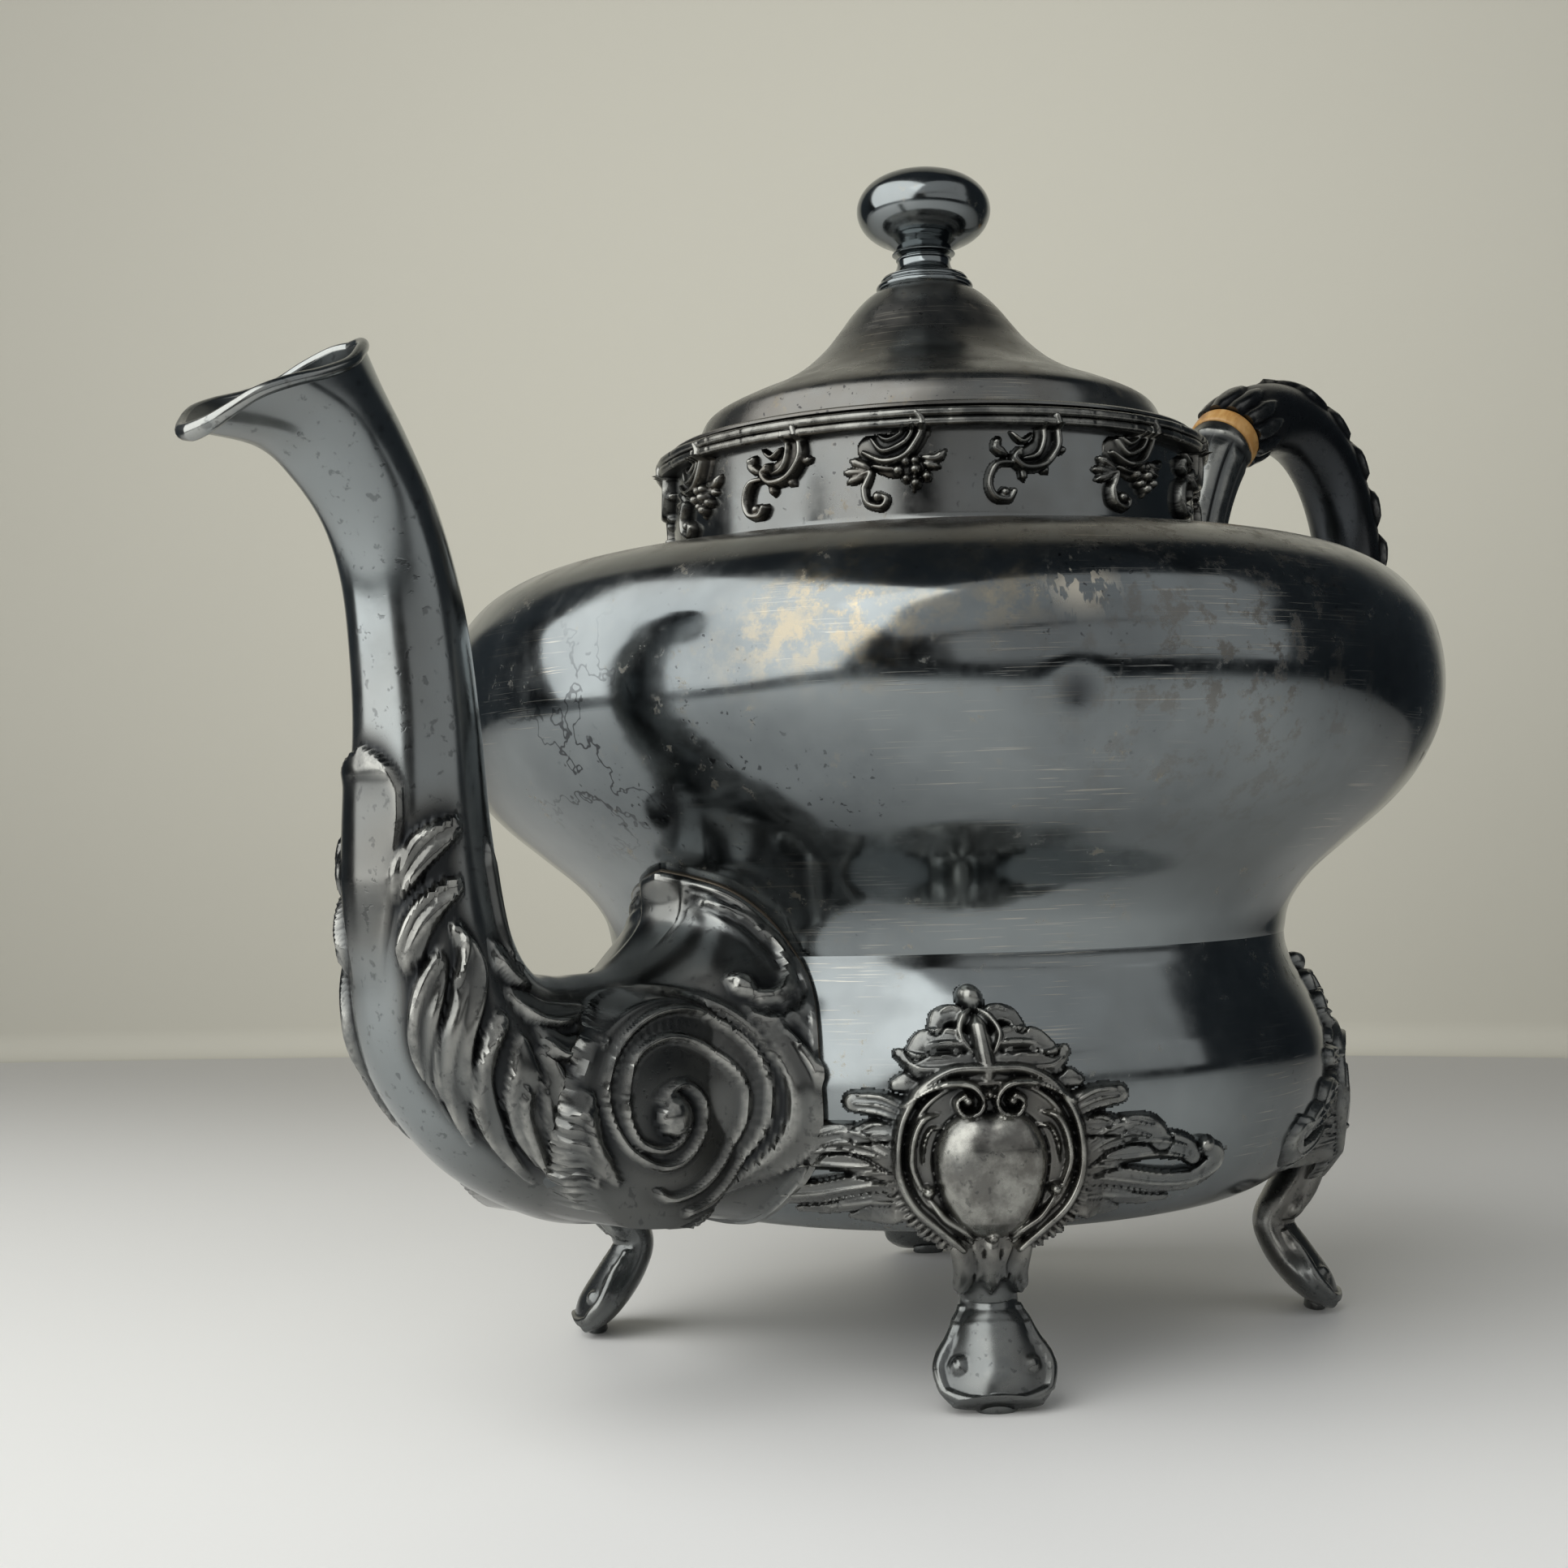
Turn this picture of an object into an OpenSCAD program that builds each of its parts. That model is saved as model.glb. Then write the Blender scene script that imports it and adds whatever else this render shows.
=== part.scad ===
// Silver-plated teapot on four scroll feet, with a swan-neck spout and a hinged domed lid.
// Spout along -X, handle along +X, the table at z = 0. Sizes are in millimetres.

/* [Body] */
// Greatest radius of the upper bulge
bulge_r = 84.9; // [82:0.5:88]
// Height of the upper bulge's greatest radius
bulge_z = 108; // [105:0.5:111]
// Radius of the waist, where the two spun shells meet
waist_r = 57.5; // [55:0.5:60]
// Height of the waist
waist_z = 66; // [64:0.5:68]
// Greatest radius of the lower bowl
bowl_r = 63.7; // [62:0.5:65.5]
// Height of the lower bowl's greatest radius
bowl_z = 46.5; // [45:0.5:48]
// Radius of the flat bottom
base_r = 44; // [41:0.5:47]
// Height of the bottom above the table
base_z = 23; // [21:0.5:25]
// Thickness of the spun shells
wall = 1; // [0.8:0.1:1.3]
// Rise of the bottom plate's middle
base_rise = 2.5; // [1.5:0.5:4]

/* [Collar] */
// Outer radius of the collar
collar_r = 45; // [44:0.5:46]
// Height where the shoulder meets the collar
shoulder_z = 131.6; // [130:0.2:133]
// Height of the collar's top edge
collar_z = 149.4; // [148:0.2:151]
// Radius of each of the two wires of the rim moulding
wire_r = 0.75; // [0.5:0.05:1]
// How far the rim moulding stands out from the collar
moulding_d = 2.9; // [2.2:0.1:3.5]
// How far the cast border hangs below the rim moulding
border_drop = 9.4; // [8:0.2:11]
// Thickness of the cast border
border_t = 1.5; // [1:0.1:2.2]
// Pairs of a flower spray and a leaf scroll round the collar
border_pairs = 7; // [6:1:7]

/* [Lid] */
// Radius of the dome's foot
lid_r = 40.6; // [39.5:0.2:41.4]
// Height of the dome's top
lid_top_z = 179; // [176:0.5:182]
// Thickness of the lid's metal
lid_wall = 0.9; // [0.7:0.1:1.2]
// Gap between the lid's flange and the collar
lid_gap = 0.5; // [0.4:0.1:0.8]
// Depth of the bezel that locates the lid in the collar
bezel_h = 6; // [4:0.5:8]
// Gap between the bezel and the collar's wall
bezel_gap = 0.6; // [0.5:0.1:1]

/* [Finial] */
// Radius of the knob
knob_r = 11.7; // [10.5:0.1:12.5]
// Height of the knob's top
knob_top_z = 200; // [198:0.5:204]
// Height of the flattened ball of the knob
knob_h = 13.6; // [12.5:0.2:14.5]
// Radius of the knob's neck
neck_r = 4.6; // [4:0.1:5.2]
// Radius of the stepped foot under the knob
finial_foot_r = 8.1; // [7.2:0.1:8.4]
// Height of the stepped foot
finial_foot_h = 5.2; // [4.5:0.1:6]
// Radius of the stud that holds the knob
stud_r = 1.5; // [1.2:0.1:1.8]
// Width of the stud's nut across its corners
nut_w = 7; // [6:0.5:8]
// Thickness of the nut
nut_h = 2.4; // [2:0.2:3]

/* [Hinge] */
// Outer radius of the knuckles
knuckle_r = 2; // [1.8:0.1:2.3]
// Radius of the hinge pin
pin_r = 0.8; // [0.6:0.05:1]
// Radial clearance of the pin in the lid's knuckle
pin_gap = 0.05; // [0.02:0.01:0.08]
// Whole length of the knuckles
hinge_w = 17; // [15:0.5:18]
// Length of the lid's knuckle
lid_knuckle_w = 7; // [5:0.5:8]
// Gap between neighbouring knuckles
knuckle_gap = 0.3; // [0.2:0.05:0.5]
// Depth of the leaf that is soldered to the collar
leaf_h = 9; // [7:0.5:10]
// Thickness of the hinge leaves
leaf_t = 1.1; // [0.9:0.1:1.4]

/* [Spout] */
// Distance of the neck's middle line from the pot's axis
spout_r = 111.5; // [109:0.5:113]
// Height of the middle line where the spout is lowest
spout_low_z = 46.8; // [45:0.2:48]
// Height of the middle line at the mouth
spout_mouth_z = 145.2; // [142:0.2:148]
// Sides of the cast spout's rings
spout_sides = 14; // [12:2:20]
// How far the swirls' discs stand from the spout's middle plane
swirl_y = 16.6; // [16:0.1:17.4]
// Height of the acanthus leaves on the spout
spout_leaf_t = 1; // [0.6:0.1:1.4]
// Wall of the cast spout
spout_wall = 1.3; // [1:0.1:1.7]
// Half the width of the spout's flange on the body
flange_w = 25; // [23:0.5:26]
// Radius of the swirl's disc on each side of the spout
swirl_r = 12.4; // [11:0.2:13.5]
// Thickness of the swirl's ridge
swirl_t = 1.25; // [0.9:0.05:1.6]
// Radius of the strainer holes in the bowl's wall
strainer_hole_r = 1.2; // [0.8:0.1:1.5]
// Distance between neighbouring strainer holes
strainer_pitch = 4.6; // [4:0.1:5.4]

/* [Feet] */
// Distance of the soles from the pot's axis
sole_r = 60; // [58:0.5:62]
// Half the width of the toe
toe_w = 8.6; // [7.6:0.2:9.4]
// Half the width of the leg's narrowest place
ankle_w = 5.2; // [4.6:0.1:6]
// Half the width of the oval shield
shield_w = 13.4; // [12.6:0.2:14]
// Half the height of the oval shield
shield_h = 13.2; // [12.4:0.2:14]
// How far the shield stands out from the bowl
shield_t = 3; // [2.4:0.1:3.6]
// How far the boss in the shield stands out from the bowl
boss_t = 5.9; // [5:0.1:6.6]
// Reach of the leaf wings to each side of a foot
wing_w = 34; // [31:0.5:36]
// Thickness of the leaf wings
wing_t = 1.7; // [1.3:0.1:2.2]

/* [Handle] */
// Radius of the hollow handle's tube
grip_r = 7.2; // [6.6:0.1:7.8]
// How far the handle's middle line reaches beyond the bulge
grip_out = 57.5; // [55.5:0.1:59]
// Height of the handle's middle line at its top
grip_top_z = 169.6; // [167:0.2:171]
// Radius of the insulating rings
ring_r = 7; // [6.4:0.1:7.6]
// Thickness of the insulating rings
ring_t = 4; // [3:0.2:5]
// Radius of the tenons that join socket, ring and handle
tenon_r = 3.2; // [2.8:0.1:3.6]
// Length of each tenon
tenon_l = 7; // [6:0.5:8]
// Radius of the pins through the tenons
tenon_pin_r = 0.8; // [0.6:0.1:1]
// Gap round the tenons and their pins
tenon_gap = 0.15; // [0.1:0.05:0.25]
// Radius of the sockets at the insulating rings
socket_r = 6.4; // [5.8:0.1:6.9]

/* [Hidden] */
$fn = 96;

silver = [0.42, 0.44, 0.47];
dark_silver = [0.3, 0.31, 0.33];
bone = [0.72, 0.58, 0.38];
seat_gap = 0.05;
far = 120;

// ---- points, curves and lofts ----

function knot(p, i) = p[max(0, min(len(p) - 1, i))];
function between(p, i, t) =
    let (a = knot(p, i - 1), b = knot(p, i), c = knot(p, i + 1), d = knot(p, i + 2))
    (2 * b + (c - a) * t + (2 * a - 5 * b + 4 * c - d) * t * t + (3 * b - a - 3 * c + d) * t * t * t) / 2;
function curve(p, n) = [for (i = [0:len(p) - 2]) for (k = [0:n - 1]) between(p, i, k / n), p[len(p) - 1]];
function backwards(p) = [for (i = [len(p) - 1:-1:0]) p[i]];
function unit(v) = v / norm(v);
function heading(p, i) = unit(knot(p, i + 1) - knot(p, i - 1));

// The side of a profile that runs upwards, moved outwards by d, with level or upright ends
function side(p, i) = let (h = heading(p, i)) [h[1], -h[0]];
function moved(p, d, first, last) = [for (i = [0:len(p) - 1])
    p[i] + d * (i == 0 ? first : i == len(p) - 1 ? last : side(p, i))];
level = [1, 0];
upright = [0, 1];

// Ring of n points round c, across the direction d, with half-axes a along u and b across it
function ring(c, d, u, a, b, n) = let (v = cross(d, u))
    [for (i = [0:n - 1]) c + a * cos(360 * i / n) * u + b * sin(360 * i / n) * v];

module loft(rings) {
    n = len(rings[0]);
    last = (len(rings) - 1) * n;
    sides = [for (j = [0:len(rings) - 2]) for (i = [0:n - 1])
        let (a = j * n + i, b = j * n + (i + 1) % n) each [[a, a + n, b + n], [a, b + n, b]]];
    polyhedron([for (r = rings) each r],
        concat([[for (i = [0:n - 1]) i]], sides, [[for (i = [n - 1:-1:0]) last + i]]));
}

// A cast piece is one closed mesh
module cast() {
    resize([0, 0, 0]) union() children();
}

// ---- profiles ----

function upper_at(f, g) = [waist_r + f * (bulge_r - waist_r), waist_z + g * (bulge_z - waist_z)];
function shoulder_at(f, g) = [bulge_r - f * (bulge_r - collar_r), bulge_z + g * (shoulder_z - bulge_z)];
function base_at(f, g) = [base_r + f * (bowl_r - base_r), base_z + g * (bowl_z - base_z)];
function waist_at(f, g) = [bowl_r - f * (bowl_r - waist_r), bowl_z + g * (waist_z - bowl_z)];
function lid_at(f, g) = [lid_r - f * (lid_r - finial_foot_r), lid_z + g * (lid_top_z - lid_z)];

upper_path = curve([upper_at(0, 0), upper_at(0.045, 0.12), upper_at(0.186, 0.24), upper_at(0.43, 0.374),
    upper_at(0.646, 0.495), upper_at(0.807, 0.617), upper_at(0.92, 0.75), upper_at(0.98, 0.87),
    shoulder_at(0, 0), shoulder_at(0.011, 0.21), shoulder_at(0.05, 0.42), shoulder_at(0.15, 0.64),
    shoulder_at(0.266, 0.78), shoulder_at(0.4, 0.875), shoulder_at(0.58, 0.94), shoulder_at(0.8, 0.985),
    shoulder_at(1, 1)], 2);
lower_path = curve([base_at(0, 0), base_at(0.355, 0.055), base_at(0.635, 0.183), base_at(0.843, 0.383),
    base_at(0.965, 0.66), base_at(1, 1), waist_at(0.12, 0.25), waist_at(0.42, 0.49),
    waist_at(0.77, 0.71), waist_at(0.96, 0.88), waist_at(1, 1)], 2);

flange_z = collar_z + lid_gap;
lid_z = flange_z + lid_wall;
flange_r = collar_r + 0.6;
bezel_r = collar_r - wall - bezel_gap;
lid_path = curve([lid_at(0, 0), lid_at(0.022, 0.12), lid_at(0.075, 0.21), lid_at(0.225, 0.3),
    lid_at(0.4, 0.385), lid_at(0.56, 0.49), lid_at(0.69, 0.62), lid_at(0.77, 0.73),
    lid_at(0.85, 0.85), lid_at(0.93, 0.945), lid_at(1, 1)], 2);

module spun(path, thick, first, last) {
    rotate_extrude() polygon(concat(path, backwards(moved(path, -thick, first, last))));
}

// Everything inside the body's outer skin moved outwards by gap, which cast pieces are fitted against.
// Its flat sides touch the round skin from outside
cutter_sides = 48;
module body_cutter(gap) {
    skin = concat(moved(lower_path, gap, -upright, level), moved(upper_path, gap, level, upright));
    round = 1 / cos(180 / cutter_sides);
    scale([round, round, 1]) rotate_extrude($fn = cutter_sides)
        polygon(concat([[0, base_z - gap]], skin, [[0, shoulder_z + gap]]));
}

// ---- body ----

module upper_body() {
    color(silver) spun(upper_path, wall, level, upright);
}

module strainer_holes() {
    rows = 6;
    for (row = [0:rows - 1], k = [-2.5 + 0.5 * (row % 2):1:2.5 - 0.5 * (row % 2)])
        translate([-waist_r, k * strainer_pitch, bowl_z + (row - (rows - 1) / 2) * strainer_pitch * 0.87])
            rotate([0, 90, 0]) cylinder(r = strainer_hole_r, h = 30, center = true, $fn = 24);
}

module lower_body() {
    color(silver) difference() {
        spun(lower_path, wall, -upright, level);
        strainer_holes();
    }
}

module base_plate() {
    top = [[base_r, base_z + wall], [base_r * 0.8, base_z + wall + base_rise * 0.45],
        [base_r * 0.5, base_z + wall + base_rise * 0.85], [0, base_z + wall + base_rise]];
    under = [for (p = backwards(top)) p - [0, wall]];
    color(silver) rotate_extrude() polygon(concat(top, under));
}

module collar() {
    color(silver) rotate_extrude()
        translate([collar_r - wall, shoulder_z - 2.5 * wall]) square([wall, collar_z - shoulder_z + 2.5 * wall]);
}

hinge_half_angle = asin(hinge_w / 2 / collar_r) + 0.6;
moulding_z = collar_z - 2 * wire_r;
module moulding_profile(gap) {
    translate([collar_r, moulding_z - 2 * wire_r - gap]) square([moulding_d - wire_r, 4 * wire_r + 2 * gap]);
    for (k = [-1, 1]) translate([collar_r + moulding_d - wire_r, moulding_z + k * wire_r])
        circle(r = wire_r + gap, $fn = 32);
}

module rim_moulding() {
    color(dark_silver) rotate([0, 0, hinge_half_angle])
        rotate_extrude(angle = 360 - 2 * hinge_half_angle) moulding_profile(0);
}

// ---- cast border of the collar ----

border_low_z = moulding_z - 2 * wire_r - border_drop;
border_angle = 213.5;
border_step = 360 / border_pairs;

// A bead along points [s, h] on a cylinder: s round it, h above the border's foot
function on_collar(p, out) = let (a = p[0] / collar_r * 180 / PI)
    [(collar_r + out) * cos(a), (collar_r + out) * sin(a), border_low_z + p[1]];
function out_from_axis(q) = unit([q[0], q[1], 0]);
module bead(p, radii, out) {
    q = [for (s = p) on_collar(s, out)];
    loft([for (i = [0:len(q) - 1]) let (n = out_from_axis(q[i]))
        ring(q[i], heading(q, i), unit(cross(cross(heading(q, i), n), heading(q, i))), radii[i] * 1.1, radii[i], 5)]);
}
function arc(c, r0, r1, a0, a1, n) = [for (i = [0:n])
    let (t = i / n, a = a0 + (a1 - a0) * t, r = r0 + (r1 - r0) * t) c + r * [cos(a), sin(a)]];
function taper(r0, r1, n) = [for (i = [0:n]) r0 + (r1 - r0) * i / n];

// What is left of a casting outside the collar and its moulding
module fitted_to_collar() {
    difference() {
        union() children();
        cylinder(r = (collar_r + seat_gap) / cos(180 / cutter_sides), h = 2 * far, $fn = cutter_sides);
        translate([0, 0, moulding_z - 2 * wire_r - seat_gap])
            cylinder(r = collar_r + 2 * moulding_d, h = far, $fn = 24);
    }
}

// A flat petal or leaf: outline in [s, h], standing out from the collar by t
module plate(t) {
    intersection() {
        rotate([90, 0, 90]) translate([0, border_low_z, 0]) linear_extrude(2 * collar_r) children();
        cylinder(r = collar_r + t, h = 2 * far, $fn = cutter_sides);
    }
}

module flower_spray() {
    top = border_drop;
    flower = [4.2, 4.4];
    cast() fitted_to_collar() {
        plate(border_t * 0.7) {
            translate([0, top - 2]) circle(r = 3.3, $fn = 9);
            translate(flower) polygon([for (k = [0:9]) (2 + 0.45 * cos(180 * k)) * [cos(36 * k), sin(36 * k)]]);
            polygon([[2.6, 5.4], [0.5, 6.4], [-2.6, 5.4], [-4, 6.4], [-6.6, 6], [-6.4, 4.2], [-4, 3.2],
                [-2.4, 4.2], [0.5, 5], [2.6, 4]]);
        }
        bead(arc([-0.2, top - 2.6], 3.5, 2.2, 60, 250, 4), taper(0.9, 0.55, 4), 0.7);
        bead(arc([-2.4, 2.3], 2.3, 1.1, 150, -110, 5), taper(0.55, 1, 5), 0.6);
        translate(on_collar(flower, border_t * 0.5)) sphere(r = 0.9, $fn = 6);
    }
}

module leaf_scroll() {
    top = border_drop;
    cast() fitted_to_collar() {
        plate(border_t * 0.7) polygon([[2.6, top], [3.4, top - 2.6], [2.4, 5.4], [2.9, 3.4], [1.4, 1.6],
            [0.2, 4], [-0.6, top - 4.6], [-2.6, top - 5], [-4.6, top - 2.6], [-3.2, top - 2.4], [-3, top]]);
        bead(arc([0.2, top - 2.8], 3.2, 1.5, 60, 330, 5), taper(0.9, 0.6, 5), 0.7);
        bead(arc([-1, 2], 2, 1, 60, -200, 5), taper(0.6, 1.1, 5), 0.6);
    }
}

// Places of the border's castings, apart from the one that the hinge would cover
module round_border(phase) {
    for (k = [0:border_pairs - 1])
        let (a = border_angle + (k + phase) * border_step, off = abs((a + 180) % 360 - 180))
            if (off > hinge_half_angle + 5) rotate([0, 0, a]) children();
}

module border_flower_sprays() {
    color(dark_silver) round_border(0) flower_spray();
}

module border_leaf_scrolls() {
    color(dark_silver) round_border(0.5) leaf_scroll();
}

// ---- lid ----

module lid_dome() {
    inner = moved(lid_path, -lid_wall, level, upright);
    color(silver) rotate_extrude() polygon(concat([[flange_r, flange_z], [flange_r, lid_z]], lid_path,
        [[stud_r + seat_gap, lid_top_z], [stud_r + seat_gap, lid_top_z - lid_wall]], backwards(inner),
        [[lid_r - lid_wall, flange_z]]));
}

module lid_bezel() {
    color(silver) rotate_extrude()
        translate([bezel_r - wall, flange_z - bezel_h]) square([wall, bezel_h]);
}

foot_top_z = lid_top_z + finial_foot_h;
module finial_foot() {
    cove = finial_foot_r - neck_r - 0.6;
    rise = finial_foot_h - 2.4;
    color(silver) rotate_extrude() polygon(concat([[stud_r + seat_gap, lid_top_z], [finial_foot_r, lid_top_z],
        [finial_foot_r + 0.1, lid_top_z + 0.7], [finial_foot_r - 0.5, lid_top_z + 1.4],
        [finial_foot_r - 0.6, lid_top_z + 2]],
        [for (a = [0:15:90]) [neck_r + cove * (1 - sin(a)), lid_top_z + 2.4 + rise * (1 - cos(a))]],
        [[stud_r + seat_gap, foot_top_z]]));
}

module finial_knob() {
    ball_z = knob_top_z - knob_h / 2;
    color(silver) {
        rotate_extrude() polygon(concat([[0, foot_top_z], [neck_r, foot_top_z], [neck_r - 0.5, foot_top_z + 0.5],
            [neck_r + 0.9, foot_top_z + 1.1], [neck_r + 0.2, foot_top_z + 1.6]],
            [for (a = [-62:6:90]) [knob_r * pow(cos(a), 0.8), ball_z + knob_h / 2 * sin(a)]]));
        translate([0, 0, lid_top_z - lid_wall - nut_h - 1]) cylinder(r = stud_r, h = 20);
    }
}

module finial_nut() {
    color(silver) translate([0, 0, lid_top_z - lid_wall - nut_h]) difference() {
        cylinder(d = nut_w, h = nut_h, $fn = 6);
        translate([0, 0, -1]) cylinder(r = stud_r + seat_gap, h = nut_h + 2);
    }
}

// ---- hinge of the lid ----

hinge_x = collar_r + moulding_d + knuckle_r * 0.3;
hinge_z = lid_z + knuckle_r * 0.4;
lid_knuckle_half = lid_knuckle_w / 2;

module knuckle_bore() {
    translate([hinge_x, -hinge_w, hinge_z]) rotate([-90, 0, 0])
        cylinder(r = pin_r + pin_gap, h = 2 * hinge_w, $fn = 48);
}

module hinge_lid_leaf() {
    color(silver) difference() {
        union() {
            translate([hinge_x, -lid_knuckle_half, hinge_z]) rotate([-90, 0, 0])
                cylinder(r = knuckle_r, h = lid_knuckle_w, $fn = 48);
            translate([lid_r + 0.6, -lid_knuckle_half, lid_z])
                cube([hinge_x - lid_r - 0.6, lid_knuckle_w, leaf_t]);
        }
        knuckle_bore();
    }
}

module hinge_collar_leaf() {
    start = lid_knuckle_half + knuckle_gap;
    reach = hinge_w / 2 - start;
    color(silver) {
        difference() {
            union() {
                for (k = [-1, 1]) {
                    translate([hinge_x, k > 0 ? start : -hinge_w / 2, hinge_z]) rotate([-90, 0, 0])
                        cylinder(r = knuckle_r, h = reach, $fn = 48);
                    translate([hinge_x - knuckle_r, k > 0 ? start : -hinge_w / 2, collar_z - 2])
                        cube([knuckle_r * 1.6, reach, hinge_z - collar_z + 2]);
                }
                rotate([0, 0, -hinge_half_angle + 0.6]) rotate_extrude(angle = 2 * hinge_half_angle - 1.2)
                    translate([collar_r, collar_z - leaf_h]) square([leaf_t, leaf_h - 0.4]);
                intersection() {
                    translate([collar_r - 4, -hinge_w / 2, collar_z - 3]) cube([moulding_d + 4.5, hinge_w, 1.6]);
                    difference() {
                        cylinder(r = collar_r + moulding_d + 0.5, h = 2 * far);
                        cylinder(r = collar_r, h = 2 * far);
                    }
                }
            }
            knuckle_bore();
        }
    }
}

module hinge_pin() {
    head = knuckle_r * 0.6;
    color(silver) translate([hinge_x, 0, hinge_z]) rotate([90, 0, 0]) {
        cylinder(r = pin_r, h = hinge_w, center = true, $fn = 48);
        for (k = [-1, 1]) translate([0, 0, k * (hinge_w + 0.6) / 2]) cylinder(r = head, h = 0.6, center = true, $fn = 48);
    }
}

// ---- spout ----

// Point of the middle line: f from the bowl out to the neck, g from the lowest place up to the mouth
function neck_at(f, g) = [bowl_r + f * (spout_r - bowl_r), spout_low_z + g * (spout_mouth_z - spout_low_z)];
function station(p, heading, deep, wide) = [p[0], p[1], heading, deep, wide];
spout_path = curve([station([waist_r - 8, spout_low_z + 5.2], 0, flange_w + 5, flange_w + 3),
    station([waist_r + 1, spout_low_z + 4.2], 0, flange_w + 2, flange_w), station(neck_at(0.059, 0.028), -2, 22.4, 19.5),
    station(neck_at(0.278, 0), 2, 19, 15.6), station(neck_at(0.519, 0.008), 12, 17.6, 14.4),
    station(neck_at(0.738, 0.055), 34, 15.6, 13.2), station(neck_at(0.906, 0.134), 60, 13.4, 12.2),
    station(neck_at(0.973, 0.246), 80, 11.2, 11), station(neck_at(0.994, 0.398), 90, 9.7, 9.7),
    station(neck_at(1, 0.551), 90, 8.7, 8.8), station(neck_at(1.031, 0.695), 82, 8.2, 8.4),
    station(neck_at(1.094, 0.81), 73, 8.5, 8.5), station(neck_at(1.209, 0.912), 68, 10.2, 8.9),
    station(neck_at(1.324, 0.957), 62, 12.2, 9.2), station(neck_at(1.467, 1), 60.4, 14, 9.4)], 2);

function spout_ring(s, less) = ring([-s[0], 0, s[1]], [-cos(s[2]), 0, sin(s[2])],
    [sin(s[2]), 0, cos(s[2])], s[3] - less, s[4] - less, spout_sides);

// Point of the spout's skin at station i and at an angle round it, 0 on the pot's side and 180 in front
function on_spout(i, a) = let (s = spout_path[i])
    [-s[0] + s[3] * cos(a) * sin(s[2]), s[4] * sin(a), s[1] + s[3] * cos(a) * cos(s[2])];

// Acanthus leaf: a tapering bead up the spout's skin between two stations, curling round it towards its tip
module spout_leaf(from, to, a0, a1, wide) {
    n = to - from;
    q = [for (k = [0:n]) on_spout(from + k, a0 + (a1 - a0) * pow(k / n, 2))];
    loft([for (k = [0:n]) let (h = heading(q, k), s = spout_path[from + k],
        out = unit(q[k] - [-s[0], 0, s[1]]))
        ring(q[k], h, unit(out - (out * h) * h), spout_leaf_t, wide * (0.35 + 0.65 * sin(180 * (0.1 + 0.8 * k / n))), 6)]);
}

swirl_middle = neck_at(0.362, -0.014);
swirl_at = [-swirl_middle[0], 0, swirl_middle[1]];
module swirl(side_y) {
    turns = 2.1;
    n = 19;
    p = [for (i = [0:n]) let (t = i / n, a = 200 - 360 * turns * t, r = 1.6 + (swirl_r - 2.2) * (1 - t))
        swirl_at + [r * cos(a), side_y * (swirl_y + 0.3 + 0.9 * t), r * sin(a)]];
    loft([for (i = [0:n]) let (h = heading(p, i), o = [0, side_y, 0])
        ring(p[i], h, unit(cross(cross(h, o), h)), swirl_t, swirl_t * (1 - 0.35 * i / n), 5)]);
    translate(swirl_at + [0, side_y * (swirl_y - 6), 0]) rotate([-90 * side_y, 0, 0]) {
        cylinder(r1 = swirl_r + 2, r2 = swirl_r, h = 6, $fn = 20);
        translate([0, 0, 6.8]) sphere(r = 2, $fn = 10);
    }
}

module spout_bore() {
    bore = [for (i = [0:len(spout_path) - 1]) let (s = spout_path[i]) spout_ring(s, spout_wall)];
    last = spout_path[len(spout_path) - 1];
    over = [for (p = spout_ring(last, spout_wall * 0.5)) p + [-cos(last[2]), 0, sin(last[2])]];
    loft(concat(bore, [over]));
}

// The spout's outer skin moved outwards by gap
module spout_skin(gap) {
    loft([for (s = spout_path) spout_ring(s, -gap)]);
}

module spout() {
    color(silver) cast() difference() {
        union() {
            spout_skin(0);
            spout_leaf(12, 17, 180, 180, 4.6);
            for (k = [-1, 1]) {
                swirl(k);
                spout_leaf(8, 14, 180 - 28 * k, 180 - 62 * k, 2.6);
                spout_leaf(7, 12, 180 - 52 * k, 180 - 92 * k, 2.4);
            }
        }
        spout_bore();
        body_cutter(seat_gap);
    }
}

// ---- handle ----

upper_joint = [bulge_r + 9.1, grip_top_z - 6.6];
upper_heading = 40;
lower_joint = [bowl_r + 24.3, waist_z + 13.5];
lower_heading = 222;

function in_plane(p) = [p[0], 0, p[1]];
function aim(a) = [cos(a), 0, sin(a)];
function crosswise(a) = [-sin(a), 0, cos(a)];

// Tube along stations [reach, height, radius], with square ends at the joints
function tube_rings(p, a0, a1, n) = [for (i = [0:len(p) - 1])
    let (h = heading(p, i), a = i == 0 ? a0 : i == len(p) - 1 ? a1 : atan2(h[1], h[0]))
        ring(in_plane(p[i]), aim(a), crosswise(a), p[i][2], p[i][2], n)];

module joint_bore(at, a) {
    translate(in_plane(at)) rotate([0, 90 - a, 0])
        cylinder(r = tenon_r + tenon_gap, h = ring_t + 2 * tenon_l + 1, center = true, $fn = 20);
}

function pin_places(at, a) = [for (k = [-1, 1]) in_plane(at) + k * (ring_t / 2 + tenon_l * 0.55) * aim(a)];
module pin_bores(at, a) {
    for (p = pin_places(at, a)) translate(p) rotate([90, 0, 0])
        cylinder(r = tenon_pin_r + tenon_gap, h = 40, center = true, $fn = 12);
}

grip_reach = bulge_r + grip_out;
grip_start = upper_joint + ring_t / 2 * [cos(upper_heading), sin(upper_heading)];
grip_end = lower_joint - ring_t / 2 * [cos(lower_heading), sin(lower_heading)];
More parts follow.
